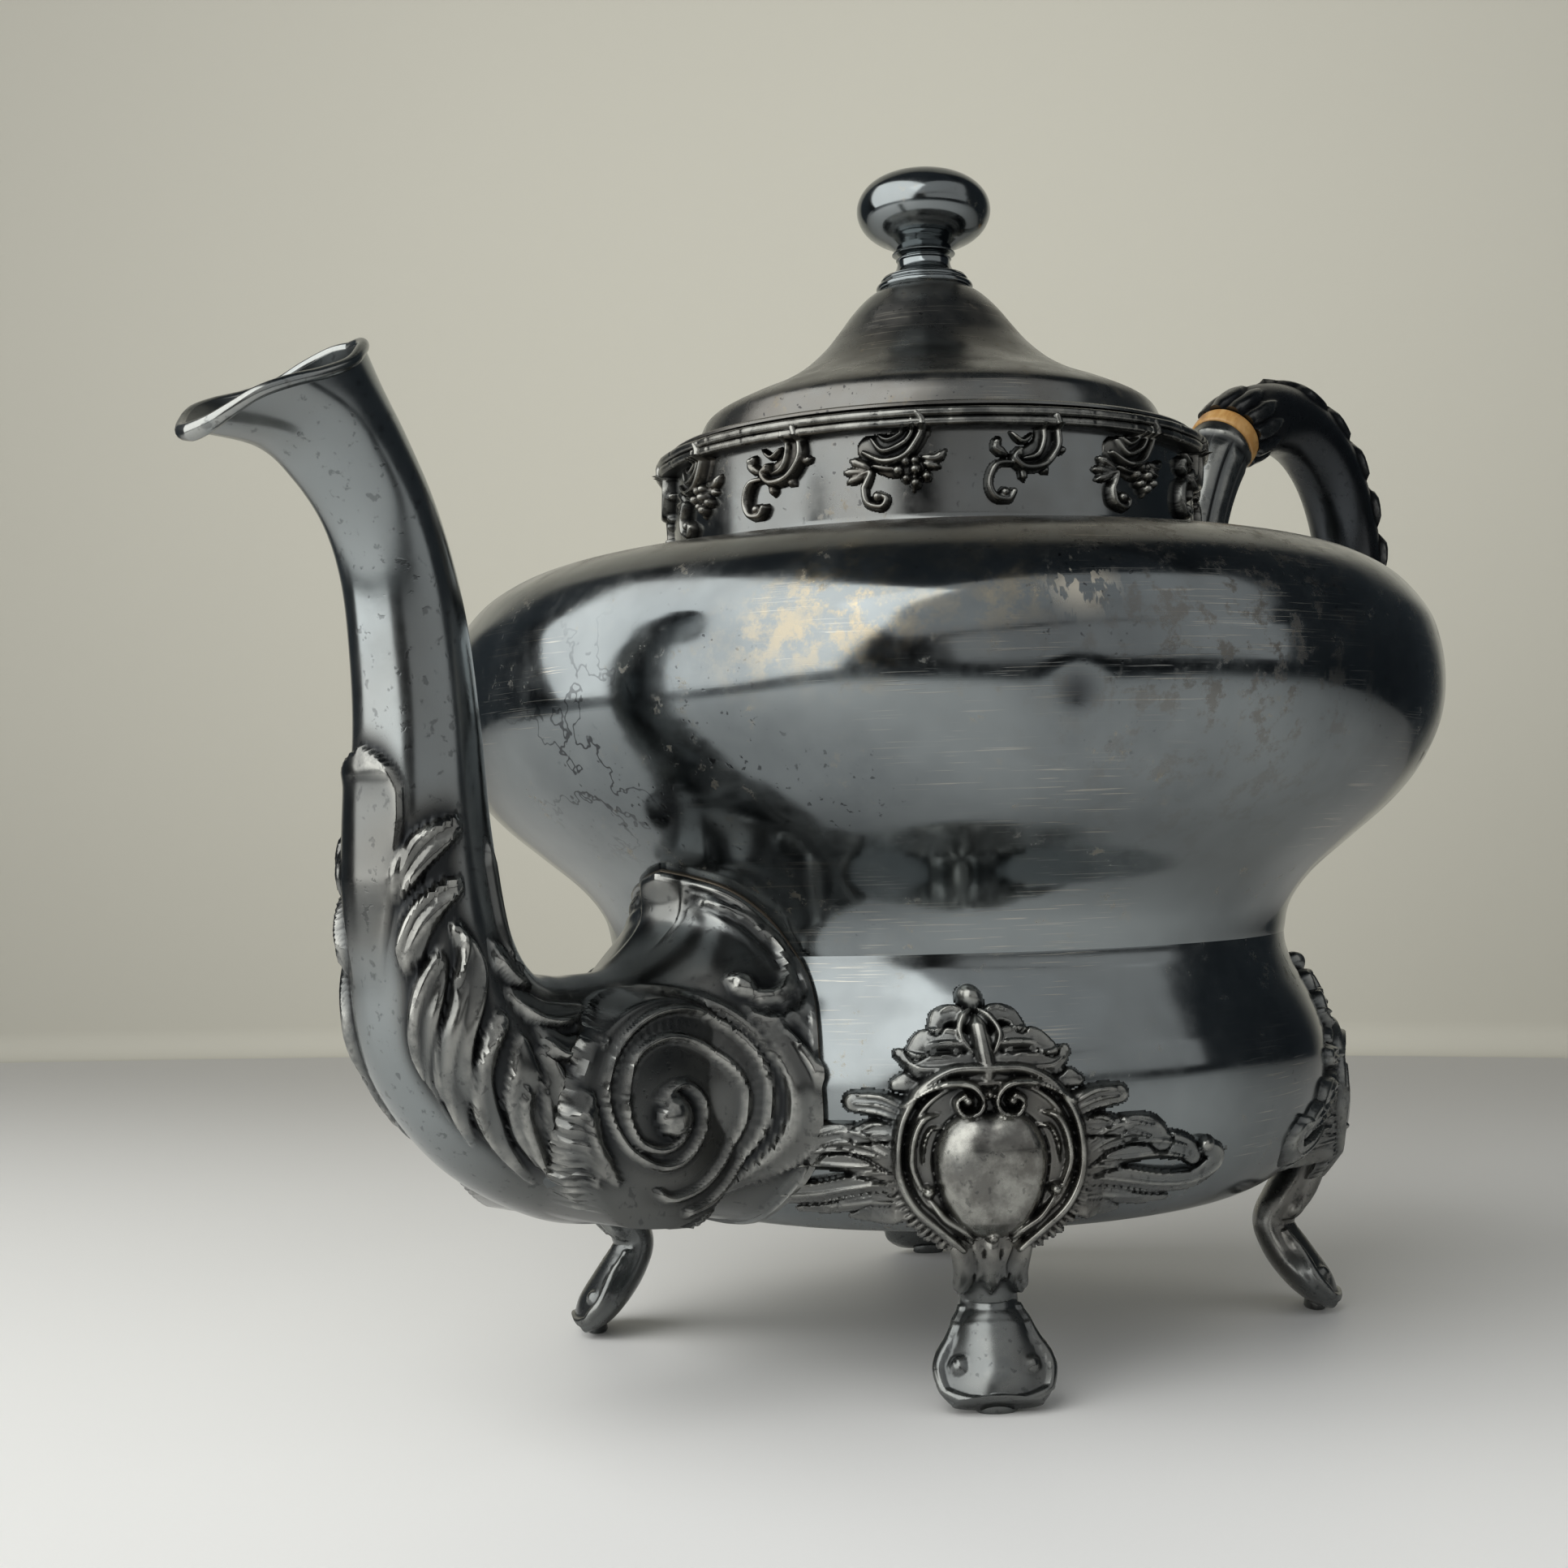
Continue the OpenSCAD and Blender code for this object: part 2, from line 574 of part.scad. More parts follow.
// Station of the handle: f from the lower joint's reach to the farthest, g from its height to the top
function grip_at(f, g, more) = [lower_joint[0] + f * (grip_reach - lower_joint[0]),
    lower_joint[1] + g * (grip_top_z - lower_joint[1]), grip_r + more];
function placed(p, r) = [p[0], p[1], r];
grip_path = curve([placed(grip_start, grip_r - 0.5), grip_at(0.239, 0.971, 0), grip_at(0.404, 1, 0.3),
    grip_at(0.57, 1, 0.3), grip_at(0.735, 0.962, 0.2), grip_at(0.873, 0.889, 0.1), grip_at(0.965, 0.782, 0),
    grip_at(1, 0.66, 0), grip_at(0.978, 0.527, 0), grip_at(0.892, 0.394, 0), grip_at(0.744, 0.277, 0),
    grip_at(0.551, 0.19, 0), grip_at(0.331, 0.128, 0), grip_at(0.147, 0.077, 0), placed(grip_end, grip_r - 0.5)], 2);

module back_ridge() {
    n = len(grip_path) - 1;
    loft([for (i = [3:3:n - 3]) let (h = heading(grip_path, i), a = atan2(h[1], h[0]),
        w = 1.6 + 1.2 * sin(180 * (i - 3) / (n - 6)))
        ring(in_plane(grip_path[i]) + (grip_path[i][2] - 0.6) * crosswise(a), aim(a), crosswise(a), 1.1, w, 5)]);
}

module handle_grip() {
    color(dark_silver) cast() difference() {
        union() {
            loft(tube_rings(grip_path, upper_heading, lower_heading, 12));
            back_ridge();
        }
        joint_bore(upper_joint, upper_heading);
        joint_bore(lower_joint, lower_heading);
        pin_bores(upper_joint, upper_heading);
        pin_bores(lower_joint, lower_heading);
    }
}

module socket(path, a0, a1, at, a) {
    color(dark_silver) cast() difference() {
        loft(tube_rings(path, a0, a1, 12));
        joint_bore(at, a);
        pin_bores(at, a);
        body_cutter(seat_gap);
    }
}

module handle_upper_socket() {
    end = upper_joint - ring_t / 2 * [cos(upper_heading), sin(upper_heading)];
    path = curve([[bulge_r - 12.9, bulge_z + 8, 11], [bulge_r - 9.4, bulge_z + 19, 8.6],
        placed(upper_joint - [14.5, 26], socket_r - 0.2), placed(upper_joint - [10.5, 16.5], socket_r - 0.8),
        placed(upper_joint - [6.5, 8.5], socket_r - 0.5), placed(end, socket_r)], 2);
    socket(path, 70, upper_heading, upper_joint, upper_heading);
}

module handle_lower_socket() {
    start = lower_joint + ring_t / 2 * [cos(lower_heading), sin(lower_heading)];
    path = curve([placed(start, socket_r), placed(lower_joint - [8, 7.9], socket_r - 0.5),
        placed(lower_joint - [15.5, 15.9], socket_r + 0.4), [bowl_r + 0.3, bowl_z + 10.5, 9.5],
        [bowl_r - 9.7, bowl_z + 5.5, 13]], 2);
    socket(path, lower_heading, 205, lower_joint, lower_heading);
}

module insulator(at, a) {
    edge = 0.8;
    color(bone) translate(in_plane(at)) rotate([0, 90 - a, 0]) difference() {
        union() {
            rotate_extrude() polygon([[0, -ring_t / 2], [ring_r - edge, -ring_t / 2],
                [ring_r, -ring_t / 2 + edge], [ring_r, ring_t / 2 - edge], [ring_r - edge, ring_t / 2],
                [0, ring_t / 2]]);
            cylinder(r = tenon_r, h = ring_t + 2 * tenon_l, center = true, $fn = 48);
        }
        for (k = [-1, 1]) translate([0, 0, k * (ring_t / 2 + tenon_l * 0.55)]) rotate([90, 0, 0])
            cylinder(r = tenon_pin_r + tenon_gap, h = 40, center = true, $fn = 24);
    }
}

module upper_insulator() {
    insulator(upper_joint, upper_heading);
}

module lower_insulator() {
    insulator(lower_joint, lower_heading);
}

module joint_pins(at, a, r) {
    color(silver) for (p = pin_places(at, a)) translate(p) rotate([90, 0, 0])
        cylinder(r = tenon_pin_r, h = 2 * r, center = true, $fn = 24);
}

module upper_handle_pins() {
    joint_pins(upper_joint, upper_heading, socket_r - 0.3);
}

module lower_handle_pins() {
    joint_pins(lower_joint, lower_heading, socket_r - 0.3);
}

// ---- feet ----

shield_z = base_z + 1.8 + shield_h;

// Leg stations [distance from the axis, height, half-width, half-thickness] from the shield to the toe
leg_stations = [[bowl_r - 1, shield_z - 6, shield_w * 0.5, 2.2], [bowl_r - 3.6, base_z + 1, 7, 3.2],
    [sole_r - 4.4, 19, 5.8, 3.2], [sole_r - 5.8, 15, ankle_w, 3], [sole_r - 3.6, 10.4, 6.4, 2.9],
    [sole_r - 0.2, 6.4, toe_w, 2.8], [sole_r + 3, 3.4, toe_w - 0.1, 2.2], [sole_r + 5.8, 2.2, toe_w - 2.2, 1.2]];

module leg() {
    p = curve(leg_stations, 2);
    q = [for (s = p) [s[0], 0, s[1]]];
    difference() {
        union() {
            loft([for (i = [0:len(p) - 1]) let (h = heading(q, i))
                ring(q[i], h, [0, 1, 0], p[i][2], p[i][3], 10)]);
            translate([sole_r - 2.5, 0, 0]) scale([1, 1.7, 1]) cylinder(r1 = 3.6, r2 = 3, h = 4.5, $fn = 12);
            for (k = [-1, 1]) translate([sole_r - 3.4, k * (ankle_w + 0.8), 17.4]) sphere(r = 1.9, $fn = 8);
        }
        translate([0, -far, -far]) cube([far, 2 * far, far]);
    }
}

// Solid between the bowl and a skin that stands t outside it, cut to an outline in [across, height]
module relief(t) {
    low = base_z - 0.6;
    skin = curve([[bowl_r - 3.2 + t * 0.4, low], [bowl_r - 0.6 + t * 0.8, base_z + 5], [bowl_r + t, bowl_z - 8],
        [bowl_r + t, bowl_z - 1], waist_at(0.12, 0.25) + [t, 0], waist_at(0.42, 0.49) + [t, 0],
        waist_at(0.77, 0.71) + [t, 0], waist_at(0.96, 0.88) + [t, 0]], 1);
    intersection() {
        rotate([90, 0, 90]) linear_extrude(far) children();
        rotate_extrude($fn = 36) polygon(concat([[0, low]], skin, [[0, skin[len(skin) - 1][1]]]));
    }
}

// Leaf wing from the shield outwards: n lobes above, n smaller ones below, tapering to a curled tip
module leaf_wing(n) {
    reach = wing_w - shield_w + 3;
    upper = [for (i = [0:3 * n]) let (t = i / (3 * n))
        [shield_w - 3 + reach * t, shield_z - 2 - 3.6 * t + (6.6 - 5 * t) * (0.66 + 0.34 * abs(sin(180 * n * t)))]];
    lower = [for (i = [3 * n:-1.5:0]) let (t = i / (3 * n))
        [shield_w - 3 + reach * t, shield_z - 2 - 3.6 * t - (7.2 - 5.8 * t) * (0.75 + 0.25 * abs(sin(180 * n * t)))]];
    polygon(concat(upper, lower));
}

module shield_outline(grow) {
    translate([0, shield_z]) scale([shield_w + grow, shield_h + grow]) circle(r = 1, $fn = 20);
}

// Half of the leafy crest over the shield, from its tip down to the shield's side
function crest_half() = let (top = waist_z - 5)
    [[0, top], [1.9, top - 1], [2.7, top - 3.2], [2, top - 5.6], [4.4, top - 6.4], [7.4, top - 8.4], [5.6, top - 9.4],
    [8.6, top - 10], [11.8, top - 12.6], [9.4, top - 13.2], [13.6, top - 13.6], [18, top - 15.4],
    [17.4, top - 17.4], [13, top - 17.6], [10, top - 22]];

module crest_outline() {
    half = crest_half();
    polygon(concat(half, [for (p = backwards(half)) [-p[0], p[1]]]));
}

// Foot on +X, fitted to the bowl and, from its place at angle a, to the spout's flange
module foot_casting(a) {
    cast() difference() {
        union() {
            relief(wing_t) {
                crest_outline();
                leaf_wing(4);
                mirror([1, 0]) leaf_wing(4);
            }
            relief(shield_t) difference() {
                shield_outline(0);
                shield_outline(-2.6);
            }
            relief(shield_t * 0.55) shield_outline(-2);
            translate([bowl_r - 0.5, 0, shield_z - 1]) scale([boss_t + 0.5, shield_w - 4.8, shield_h - 3.9])
                sphere(r = 1, $fn = 12);
            for (k = [-1, 1]) translate([bowl_r + shield_t - 0.6, k * 3.6, shield_z + 7.8])
                rotate([0, 90, 0]) cylinder(r = 2.4, h = 1.8, $fn = 10);
            leg();
        }
        body_cutter(seat_gap);
        rotate([0, 0, -a]) spout_skin(3 * seat_gap);
    }
}

module foot_at(a) {
    color(dark_silver) rotate([0, 0, a]) foot_casting(a);
}

module foot_front_left() { foot_at(225); }
module foot_front_right() { foot_at(135); }
module foot_rear_left() { foot_at(315); }
module foot_rear_right() { foot_at(45); }

upper_body();
lower_body();
base_plate();
collar();
rim_moulding();
border_flower_sprays();
border_leaf_scrolls();
lid_dome();
lid_bezel();
finial_foot();
finial_knob();
finial_nut();
hinge_lid_leaf();
hinge_collar_leaf();
hinge_pin();
spout();
handle_upper_socket();
upper_insulator();
handle_grip();
lower_insulator();
handle_lower_socket();
upper_handle_pins();
lower_handle_pins();
foot_front_left();
foot_front_right();
foot_rear_left();
foot_rear_right();
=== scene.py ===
import math

import bpy
import numpy as np
from mathutils import Matrix, Vector


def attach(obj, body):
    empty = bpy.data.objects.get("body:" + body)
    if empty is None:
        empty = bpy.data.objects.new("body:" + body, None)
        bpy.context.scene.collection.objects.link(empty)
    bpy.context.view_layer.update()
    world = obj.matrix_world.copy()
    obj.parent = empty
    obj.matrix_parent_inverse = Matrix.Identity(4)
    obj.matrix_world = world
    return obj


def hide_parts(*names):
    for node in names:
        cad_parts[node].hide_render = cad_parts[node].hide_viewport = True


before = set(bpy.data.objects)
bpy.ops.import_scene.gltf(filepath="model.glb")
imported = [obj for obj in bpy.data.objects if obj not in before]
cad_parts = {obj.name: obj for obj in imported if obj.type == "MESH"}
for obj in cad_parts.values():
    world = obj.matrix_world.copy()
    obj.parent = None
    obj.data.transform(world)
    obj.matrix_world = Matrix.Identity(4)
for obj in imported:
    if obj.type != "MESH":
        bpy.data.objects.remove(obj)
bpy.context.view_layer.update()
mm = 0.001  # every shape below is written in millimetres


def curveThrough(a, b, c, d, t):
    # the stretch from b to c of a smooth curve through four points
    return (2 * b + (c - a) * t + (2 * a - 5 * b + 4 * c - d) * t**2 + (3 * b - a - 3 * c + d) * t**3) / 2


def smoothLine(knots, steps):
    k = np.array(knots, float)
    k = np.vstack([k[:1], k, k[-1:]])
    t = np.linspace(0, 1, steps, endpoint=False)[:, None]
    parts = []
    for i in range(len(k) - 3):
        parts.append(curveThrough(*k[i:i + 4], t))
    return np.vstack(parts + [k[-1:]])


def outwards(line):
    run = np.gradient(line, axis=0)
    run /= np.linalg.norm(run, axis=1)[:, None]
    return np.column_stack([run[:, 1], -run[:, 0]])


def gridFaces(rows, columns, closeRound=True, closeLength=False):
    i = np.arange(rows if closeLength else rows - 1)[:, None]
    j = np.arange(columns if closeRound else columns - 1)[None, :]
    a = i * columns + j
    b = i * columns + (j + 1) % columns
    c = ((i + 1) % rows) * columns + (j + 1) % columns
    d = ((i + 1) % rows) * columns + j
    return np.stack([a, b, c, d], -1).reshape(-1, 4)


def gridNormals(points, closeRound=True):
    if closeRound:
        across = np.roll(points, -1, 1) - np.roll(points, 1, 1)
    else:
        across = np.gradient(points, axis=1)
    along = np.gradient(points, axis=0)
    normal = np.cross(across, along)
    return normal / np.maximum(np.linalg.norm(normal, axis=-1, keepdims=True), 1e-9)


def blurred(height, reach, closeRound=False):
    out = height
    for axis in (0, 1):
        for _ in range(2):
            mode = "wrap" if axis == 1 and closeRound else "edge"
            pad = [(reach, reach) if k == axis else (0, 0) for k in (0, 1)]
            total = np.cumsum(np.pad(out, pad, mode=mode), axis=axis)
            total = np.insert(total, 0, 0, axis=axis)
            wide = 2 * reach + 1
            out = (np.take(total, range(wide, total.shape[axis]), axis) -
                   np.take(total, range(0, total.shape[axis] - wide), axis)) / wide
    return out


def besideLine(places, line, facing=None):
    # distance, share of the line's run and side (1 is left of it) for each place
    a, run = line[:-1], np.diff(line, axis=0)
    size = np.maximum((run**2).sum(1), 1e-9)
    distance, share, side = (np.zeros(len(places)) for _ in range(3))
    for part in np.array_split(np.arange(len(places)), 1 + len(places) // 4000):
        gap = places[part][:, None, :] - a[None]
        t = np.clip((gap * run).sum(-1) / size, 0, 1)
        gap = gap - t[..., None] * run
        if facing is not None:
            normal = facing[part][:, None, :]
            gap = gap - 0.85 * (gap * normal).sum(-1, keepdims=True) * normal
        off = (gap**2).sum(-1)
        best = off.argmin(1)
        pick = np.arange(len(part))
        gap, along = gap[pick, best], run[best]
        if facing is None:
            left = along[:, 0] * gap[:, 1] - along[:, 1] * gap[:, 0]
        else:
            left = (np.cross(facing[part], along) * gap).sum(1)
        distance[part] = np.sqrt(off[pick, best])
        share[part] = (best + t[pick, best]) / len(run)
        side[part] = np.sign(left)
    return distance, share, side


def carve(lift, places, strands, kind, facing=None):
    # a strand is (knots, half-width, height, start, end, lean)
    # a lean of 1 slopes gently to its left and steeply to its right
    for knots, wide, tall, start, end, *rest in strands:
        lean = rest[0] if rest else 0
        line = smoothLine(knots, 7)
        reach = wide * (1.4 + 1.2 * abs(lean)) + (2.5 if facing is not None else 0)
        near = np.flatnonzero(((places > line.min(0) - reach) & (places < line.max(0) + reach)).all(1))
        if len(near) == 0:
            continue
        off, share, side = besideLine(places[near], line, None if facing is None else facing[near])
        form = np.interp(share, [0, 0.25, 0.7, 1], [start, 1, 1, end])
        form = form * np.where(side * lean > 0, 1 + 1.2 * abs(lean), 1 - 0.4 * abs(lean))
        q = off / (wide * form)
        form = np.interp(share, [0, 0.25, 0.7, 1], [start, 1, 1, end])**0.5
        dome = np.clip(1 - q * q, 0, 1)
        if kind == "rope":
            lift[near] = np.maximum(lift[near], tall * form * np.sqrt(dome))
        elif kind == "plate":
            groove = 0.4 * tall * form * np.clip(1 - ((q - 1.12) / 0.16)**2, 0, 1)
            crown = tall * form * np.clip(dome * 2.2, 0, 1)**0.6 * (0.8 + 0.2 * dome)
            lift[near] = np.where(q < 1, np.maximum(lift[near], crown), lift[near] - groove)
        else:
            lift[near] += tall * form * dome**1.6
    return lift


def strandLift(places, strands):
    return carve(np.zeros(len(places)), places, strands, "rope")


def mirrored(strands):
    flip = np.array([-1, 1])
    return strands + [(np.array(s[0]) * flip, *s[1:5], -s[5] if len(s) > 5 else 0) for s in strands]


def ballLift(places, balls):
    lift = np.zeros(len(places))
    for middle, radius, tall in balls:
        off = ((places - np.array(middle))**2).sum(1) / radius**2
        lift = np.maximum(lift, tall * np.sqrt(np.clip(1 - off, 0, 1)))
    return lift


def makePiece(name, points, faces, body, cadNodes, material, sharp=50, wear=None):
    mesh = bpy.data.meshes.new(name)
    mesh.from_pydata((np.asarray(points).reshape(-1, 3) * mm).tolist(), [], [list(f) for f in faces])
    mesh.polygons.foreach_set("use_smooth", [True] * len(mesh.polygons))
    mesh.set_sharp_from_angle(angle=math.radians(sharp))
    for key, values in (wear or {}).items():
        worn = mesh.attributes.new(key, "FLOAT", "POINT")
        worn.data.foreach_set("value", np.asarray(values, np.float32).ravel())
    mesh.materials.append(material)
    piece = bpy.data.objects.new(name, mesh)
    bpy.context.scene.collection.objects.link(piece)
    if body:
        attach(piece, body)
        if cadNodes:
            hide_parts(*cadNodes)
    return piece


def turned(name, outline, body, cadNodes, material, sides=360, closed=True, bend=None, sharp=40):
    # a spun piece; an outline that isn't closed starts and ends on the axis
    line = np.array(outline, float)
    angle = np.linspace(0, 2 * math.pi, sides, endpoint=False)
    ends = [] if closed else [line[0], line[-1]]
    if not closed:
        line = line[1:-1]
    points = np.stack([line[:, :1] * np.cos(angle), line[:, :1] * np.sin(angle),
                       np.repeat(line[:, 1:], sides, 1)], -1)
    faces = gridFaces(len(line), sides, True, closed).tolist()
    flat = points.reshape(-1, 3)
    if not closed:
        count = len(flat)
        flat = np.vstack([flat, [[0, 0, ends[0][1]], [0, 0, ends[1][1]]]])
        last = (len(line) - 1) * sides
        faces += [[count, (j + 1) % sides, j] for j in range(sides)]
        faces += [[count + 1, last + j, last + (j + 1) % sides] for j in range(sides)]
    if bend:
        flat = bend(flat)
    return makePiece(name, flat, faces, body, cadNodes, material, sharp)


def reliefPatch(place, lift, floor, back):
    # closed shell over the part of a grid where the lift is above the floor; place(lift) gives the points
    rows, columns = lift.shape
    quads = gridFaces(rows, columns, False)
    shown = (lift.ravel()[quads] > floor).any(1)
    quads = quads[shown]
    top = place(np.maximum(lift, floor - 0.25)).reshape(-1, 3)
    under = place(np.full(lift.shape, back)).reshape(-1, 3)
    edges = np.concatenate([quads[:, [k, (k + 1) % 4]] for k in range(4)])
    keys = edges[:, 0].astype(np.int64) * rows * columns + edges[:, 1]
    reverse = edges[:, 1].astype(np.int64) * rows * columns + edges[:, 0]
    rim = edges[~np.isin(keys, reverse)]
    count = rows * columns
    walls = np.stack([rim[:, 1], rim[:, 0], rim[:, 0] + count, rim[:, 1] + count], -1)
    faces = np.concatenate([quads, quads[:, ::-1] + count, walls])
    used, faces = np.unique(faces, return_inverse=True)
    points = np.vstack([top, under])[used]
    return points, faces.reshape(-1, 4), used % count


def wearOf(lift, reach, closeRound=False, strength=1.0):
    gap = (lift - blurred(lift, reach, closeRound)) * strength
    return {"recess": np.clip(-gap * 2.2, 0, 1), "worn": np.clip(gap * 2.0, 0, 1)}


class Finish:
    # short hand for a node material that reads object coordinates in metres
    def __init__(self, name):
        self.material = bpy.data.materials.new(name)
        self.material.use_nodes = True
        self.tree = self.material.node_tree
        self.shader = self.tree.nodes["Principled BSDF"]
        self.place = self.tree.nodes.new("ShaderNodeTexCoord").outputs["Object"]

    def join(self, value, socket):
        if isinstance(value, bpy.types.NodeSocket):
            self.tree.links.new(value, socket)
        else:
            socket.default_value = value

    def node(self, kind, inputs, output=0, **settings):
        node = self.tree.nodes.new("ShaderNode" + kind)
        for key, value in settings.items():
            setattr(node, key, value)
        for key, value in inputs.items():
            self.join(value, node.inputs[key])
        return node.outputs[output]

    def math(self, operation, a, b=0.0, clamp=False):
        return self.node("Math", {0: a, 1: b}, operation=operation, use_clamp=clamp)

    def noise(self, scale, detail=4.0, rough=0.55, place=None, distortion=0.0):
        inputs = {"Vector": place or self.place, "Scale": scale, "Detail": detail,
                  "Roughness": rough, "Distortion": distortion}
        return self.node("TexNoise", inputs, "Fac" if bpy.app.version < (4, 0) else 0)

    def stretched(self, scale, turn=(0, 0, 0)):
        return self.node("Mapping", {"Vector": self.place, "Scale": scale, "Rotation": turn})

    def band(self, value, low, high):
        inputs = {"Value": value, "From Min": low, "From Max": high}
        return self.node("MapRange", inputs, interpolation_type="SMOOTHSTEP")

    def mix(self, share, a, b):
        node = self.tree.nodes.new("ShaderNodeMix")
        node.data_type = "RGBA"
        for key, value in (("Factor", share), ("A", a), ("B", b)):
            socket = [s for s in node.inputs if s.name == key and s.enabled][0]
            self.join(value, socket)
        return [s for s in node.outputs if s.enabled][0]

    def near(self, point, radius):
        # 1 at a point of the piece, given in millimetres, and 0 at the radius
        away = self.node("VectorMath", {0: self.place, 1: tuple(v * mm for v in point)}, "Value",
                         operation="DISTANCE")
        return self.band(away, radius * mm, 0.0)

    def attribute(self, name):
        return self.node("Attribute", {}, "Fac", attribute_name=name)

    def height(self):
        return self.node("SeparateXYZ", {0: self.place}, "Z")

    def bump(self, height, strength, distance, after=None):
        inputs = {"Height": height, "Strength": strength, "Distance": distance * mm}
        if after:
            inputs["Normal"] = after
        return self.node("Bump", inputs)

    def end(self, **inputs):
        for key, value in inputs.items():
            self.join(value, self.shader.inputs[key.replace("_", " ")])
        return self.material


def onSkin(angle, height, radius):
    return (radius * math.cos(math.radians(angle)), radius * math.sin(math.radians(angle)), height)


silverLook = {
    "steel": (0.245, 0.268, 0.276, 1),     # clean, dark silver
    "smoke": (0.130, 0.144, 0.152, 1),     # smoky film
    "brown": (0.140, 0.116, 0.090, 1),     # old brown tarnish
    "gold": (0.420, 0.340, 0.210, 1),      # thin straw-coloured film
    "black": (0.020, 0.020, 0.024, 1),     # pits, and the painted shade in the dent
    "ornament_shade": (0.090, 0.089, 0.084, 1),     # painted shade round the spout's ornament
    "bare": (0.560, 0.520, 0.440, 1),      # scraped metal
}


def tarnishedSilver(name, brownFrom, brownTo, brownMost, rough=0.13, spots=1.0, marks=False):
    # brown tarnish grows from one height to another, in millimetres
    f = Finish(name)
    cloud = f.noise(14, 5, 0.6)
    fine = f.noise(90, 6, 0.65)
    grit = f.noise(420, 4, 0.7)
    upward = f.band(f.height(), brownFrom * mm, brownTo * mm)
    brown = f.math("MULTIPLY", upward,
                   f.band(f.math("ADD", cloud, f.math("MULTIPLY", fine, 0.45)), 0.45, 0.95))
    brown = f.math("MULTIPLY", brown, brownMost)
    speckle = f.math("MULTIPLY", f.band(grit, 0.56, 0.66), f.band(fine, 0.5, 0.7))
    pit = f.math("MULTIPLY", f.band(f.noise(900, 2, 0.5), 0.66, 0.72), f.band(cloud, 0.48, 0.62))
    colour = f.mix(f.band(cloud, 0.32, 0.68), silverLook["steel"], silverLook["smoke"])
    colour = f.mix(f.math("MULTIPLY", f.band(fine, 0.4, 0.7), 0.25), colour, silverLook["steel"])
    colour = f.mix(brown, colour, silverLook["brown"])
    colour = f.mix(f.math("MULTIPLY", speckle, 0.35 * spots), colour, silverLook["gold"])
    colour = f.mix(f.math("MULTIPLY", pit, 0.8 * spots), colour, silverLook["black"])
    polish = f.noise(1, 3, 0.6, f.stretched((30, 30, 2600)))
    hair = [f.band(f.noise(1, 2, 0.5, f.stretched((s, 60, 4200), (a, b, c))), 0.66, 0.70)
            for s, a, b, c in ((60, 0.5, 0.2, 0.3), (80, -0.6, 0.35, 1.4), (50, 0.1, -0.5, 2.2))]
    scratch = f.math("MAXIMUM", f.math("MAXIMUM", hair[0], hair[1]), hair[2])
    scratch = f.math("MULTIPLY", scratch, f.band(f.noise(35, 2), 0.5, 0.62))
    colour = f.mix(f.math("MULTIPLY", scratch, 0.45), colour, silverLook["bare"])
    dull = f.math("ADD", f.math("MULTIPLY", brown, 0.22), f.math("MULTIPLY", speckle, 0.25))
    dull = f.math("ADD", dull, f.math("MULTIPLY", f.band(fine, 0.35, 0.8), 0.14))
    rise = f.math("ADD", f.math("MULTIPLY", polish, 0.25), f.math("MULTIPLY", speckle, 0.7))
    rise = f.math("SUBTRACT", rise, f.math("ADD", pit, f.math("MULTIPLY", scratch, 0.5)))
    if marks:
        dapple = f.math("MULTIPLY", f.band(f.noise(300, 5, 0.7), 0.42, 0.60), f.band(fine, 0.30, 0.60))
        for spot, wide, most in ((onSkin(212, 115.8, 83.6), 17, 0.8), (onSkin(203, 111, 84.6), 11, 0.4),
                                 (onSkin(226, 118.5, 82), 13, 0.45)):
            patch = f.math("MULTIPLY", f.near(spot, wide), dapple)
            colour = f.mix(f.math("MULTIPLY", patch, most), colour, silverLook["gold"])
        scuffs = f.math("MULTIPLY", f.near(onSkin(234.2, 118.2, 82.6), 7.5),
                        f.band(f.noise(1, 3, 0.6, f.stretched((420, 420, 110), (0.25, -0.4, 0.1))),
                               0.50, 0.54))
        colour = f.mix(scuffs, colour, silverLook["bare"])
        dull = f.math("ADD", dull, f.math("MULTIPLY", scuffs, 0.3))
        cracks = f.math("ABSOLUTE", f.math("SUBTRACT", f.noise(70, 4, 0.6), 0.5))
        cracks = f.math("MULTIPLY", f.band(cracks, 0.012, 0.004), f.near(onSkin(181, 96, 81), 26))
        colour = f.mix(f.math("MULTIPLY", cracks, 0.85), colour, silverLook["black"])
        # painted shade: the centre of the dent is painted dark
        dent = f.near(onSkin(233.3, 102.8, 84.5), 5)
        colour = f.mix(f.math("MULTIPLY", dent, 0.8), colour, silverLook["black"])
        freckles = f.math("MULTIPLY", f.near(onSkin(252, 112, 84.5), 46),
                          f.band(f.noise(260, 5, 0.7), 0.5, 0.62))
        colour = f.mix(f.math("MULTIPLY", freckles, 0.55), colour, silverLook["brown"])
        dull = f.math("ADD", dull, f.math("MULTIPLY", freckles, 0.2))
    return f.end(Base_Color=colour, Metallic=1.0, Roughness=f.math("ADD", dull, rough),
                 Normal=f.bump(rise, 0.35, 0.02))


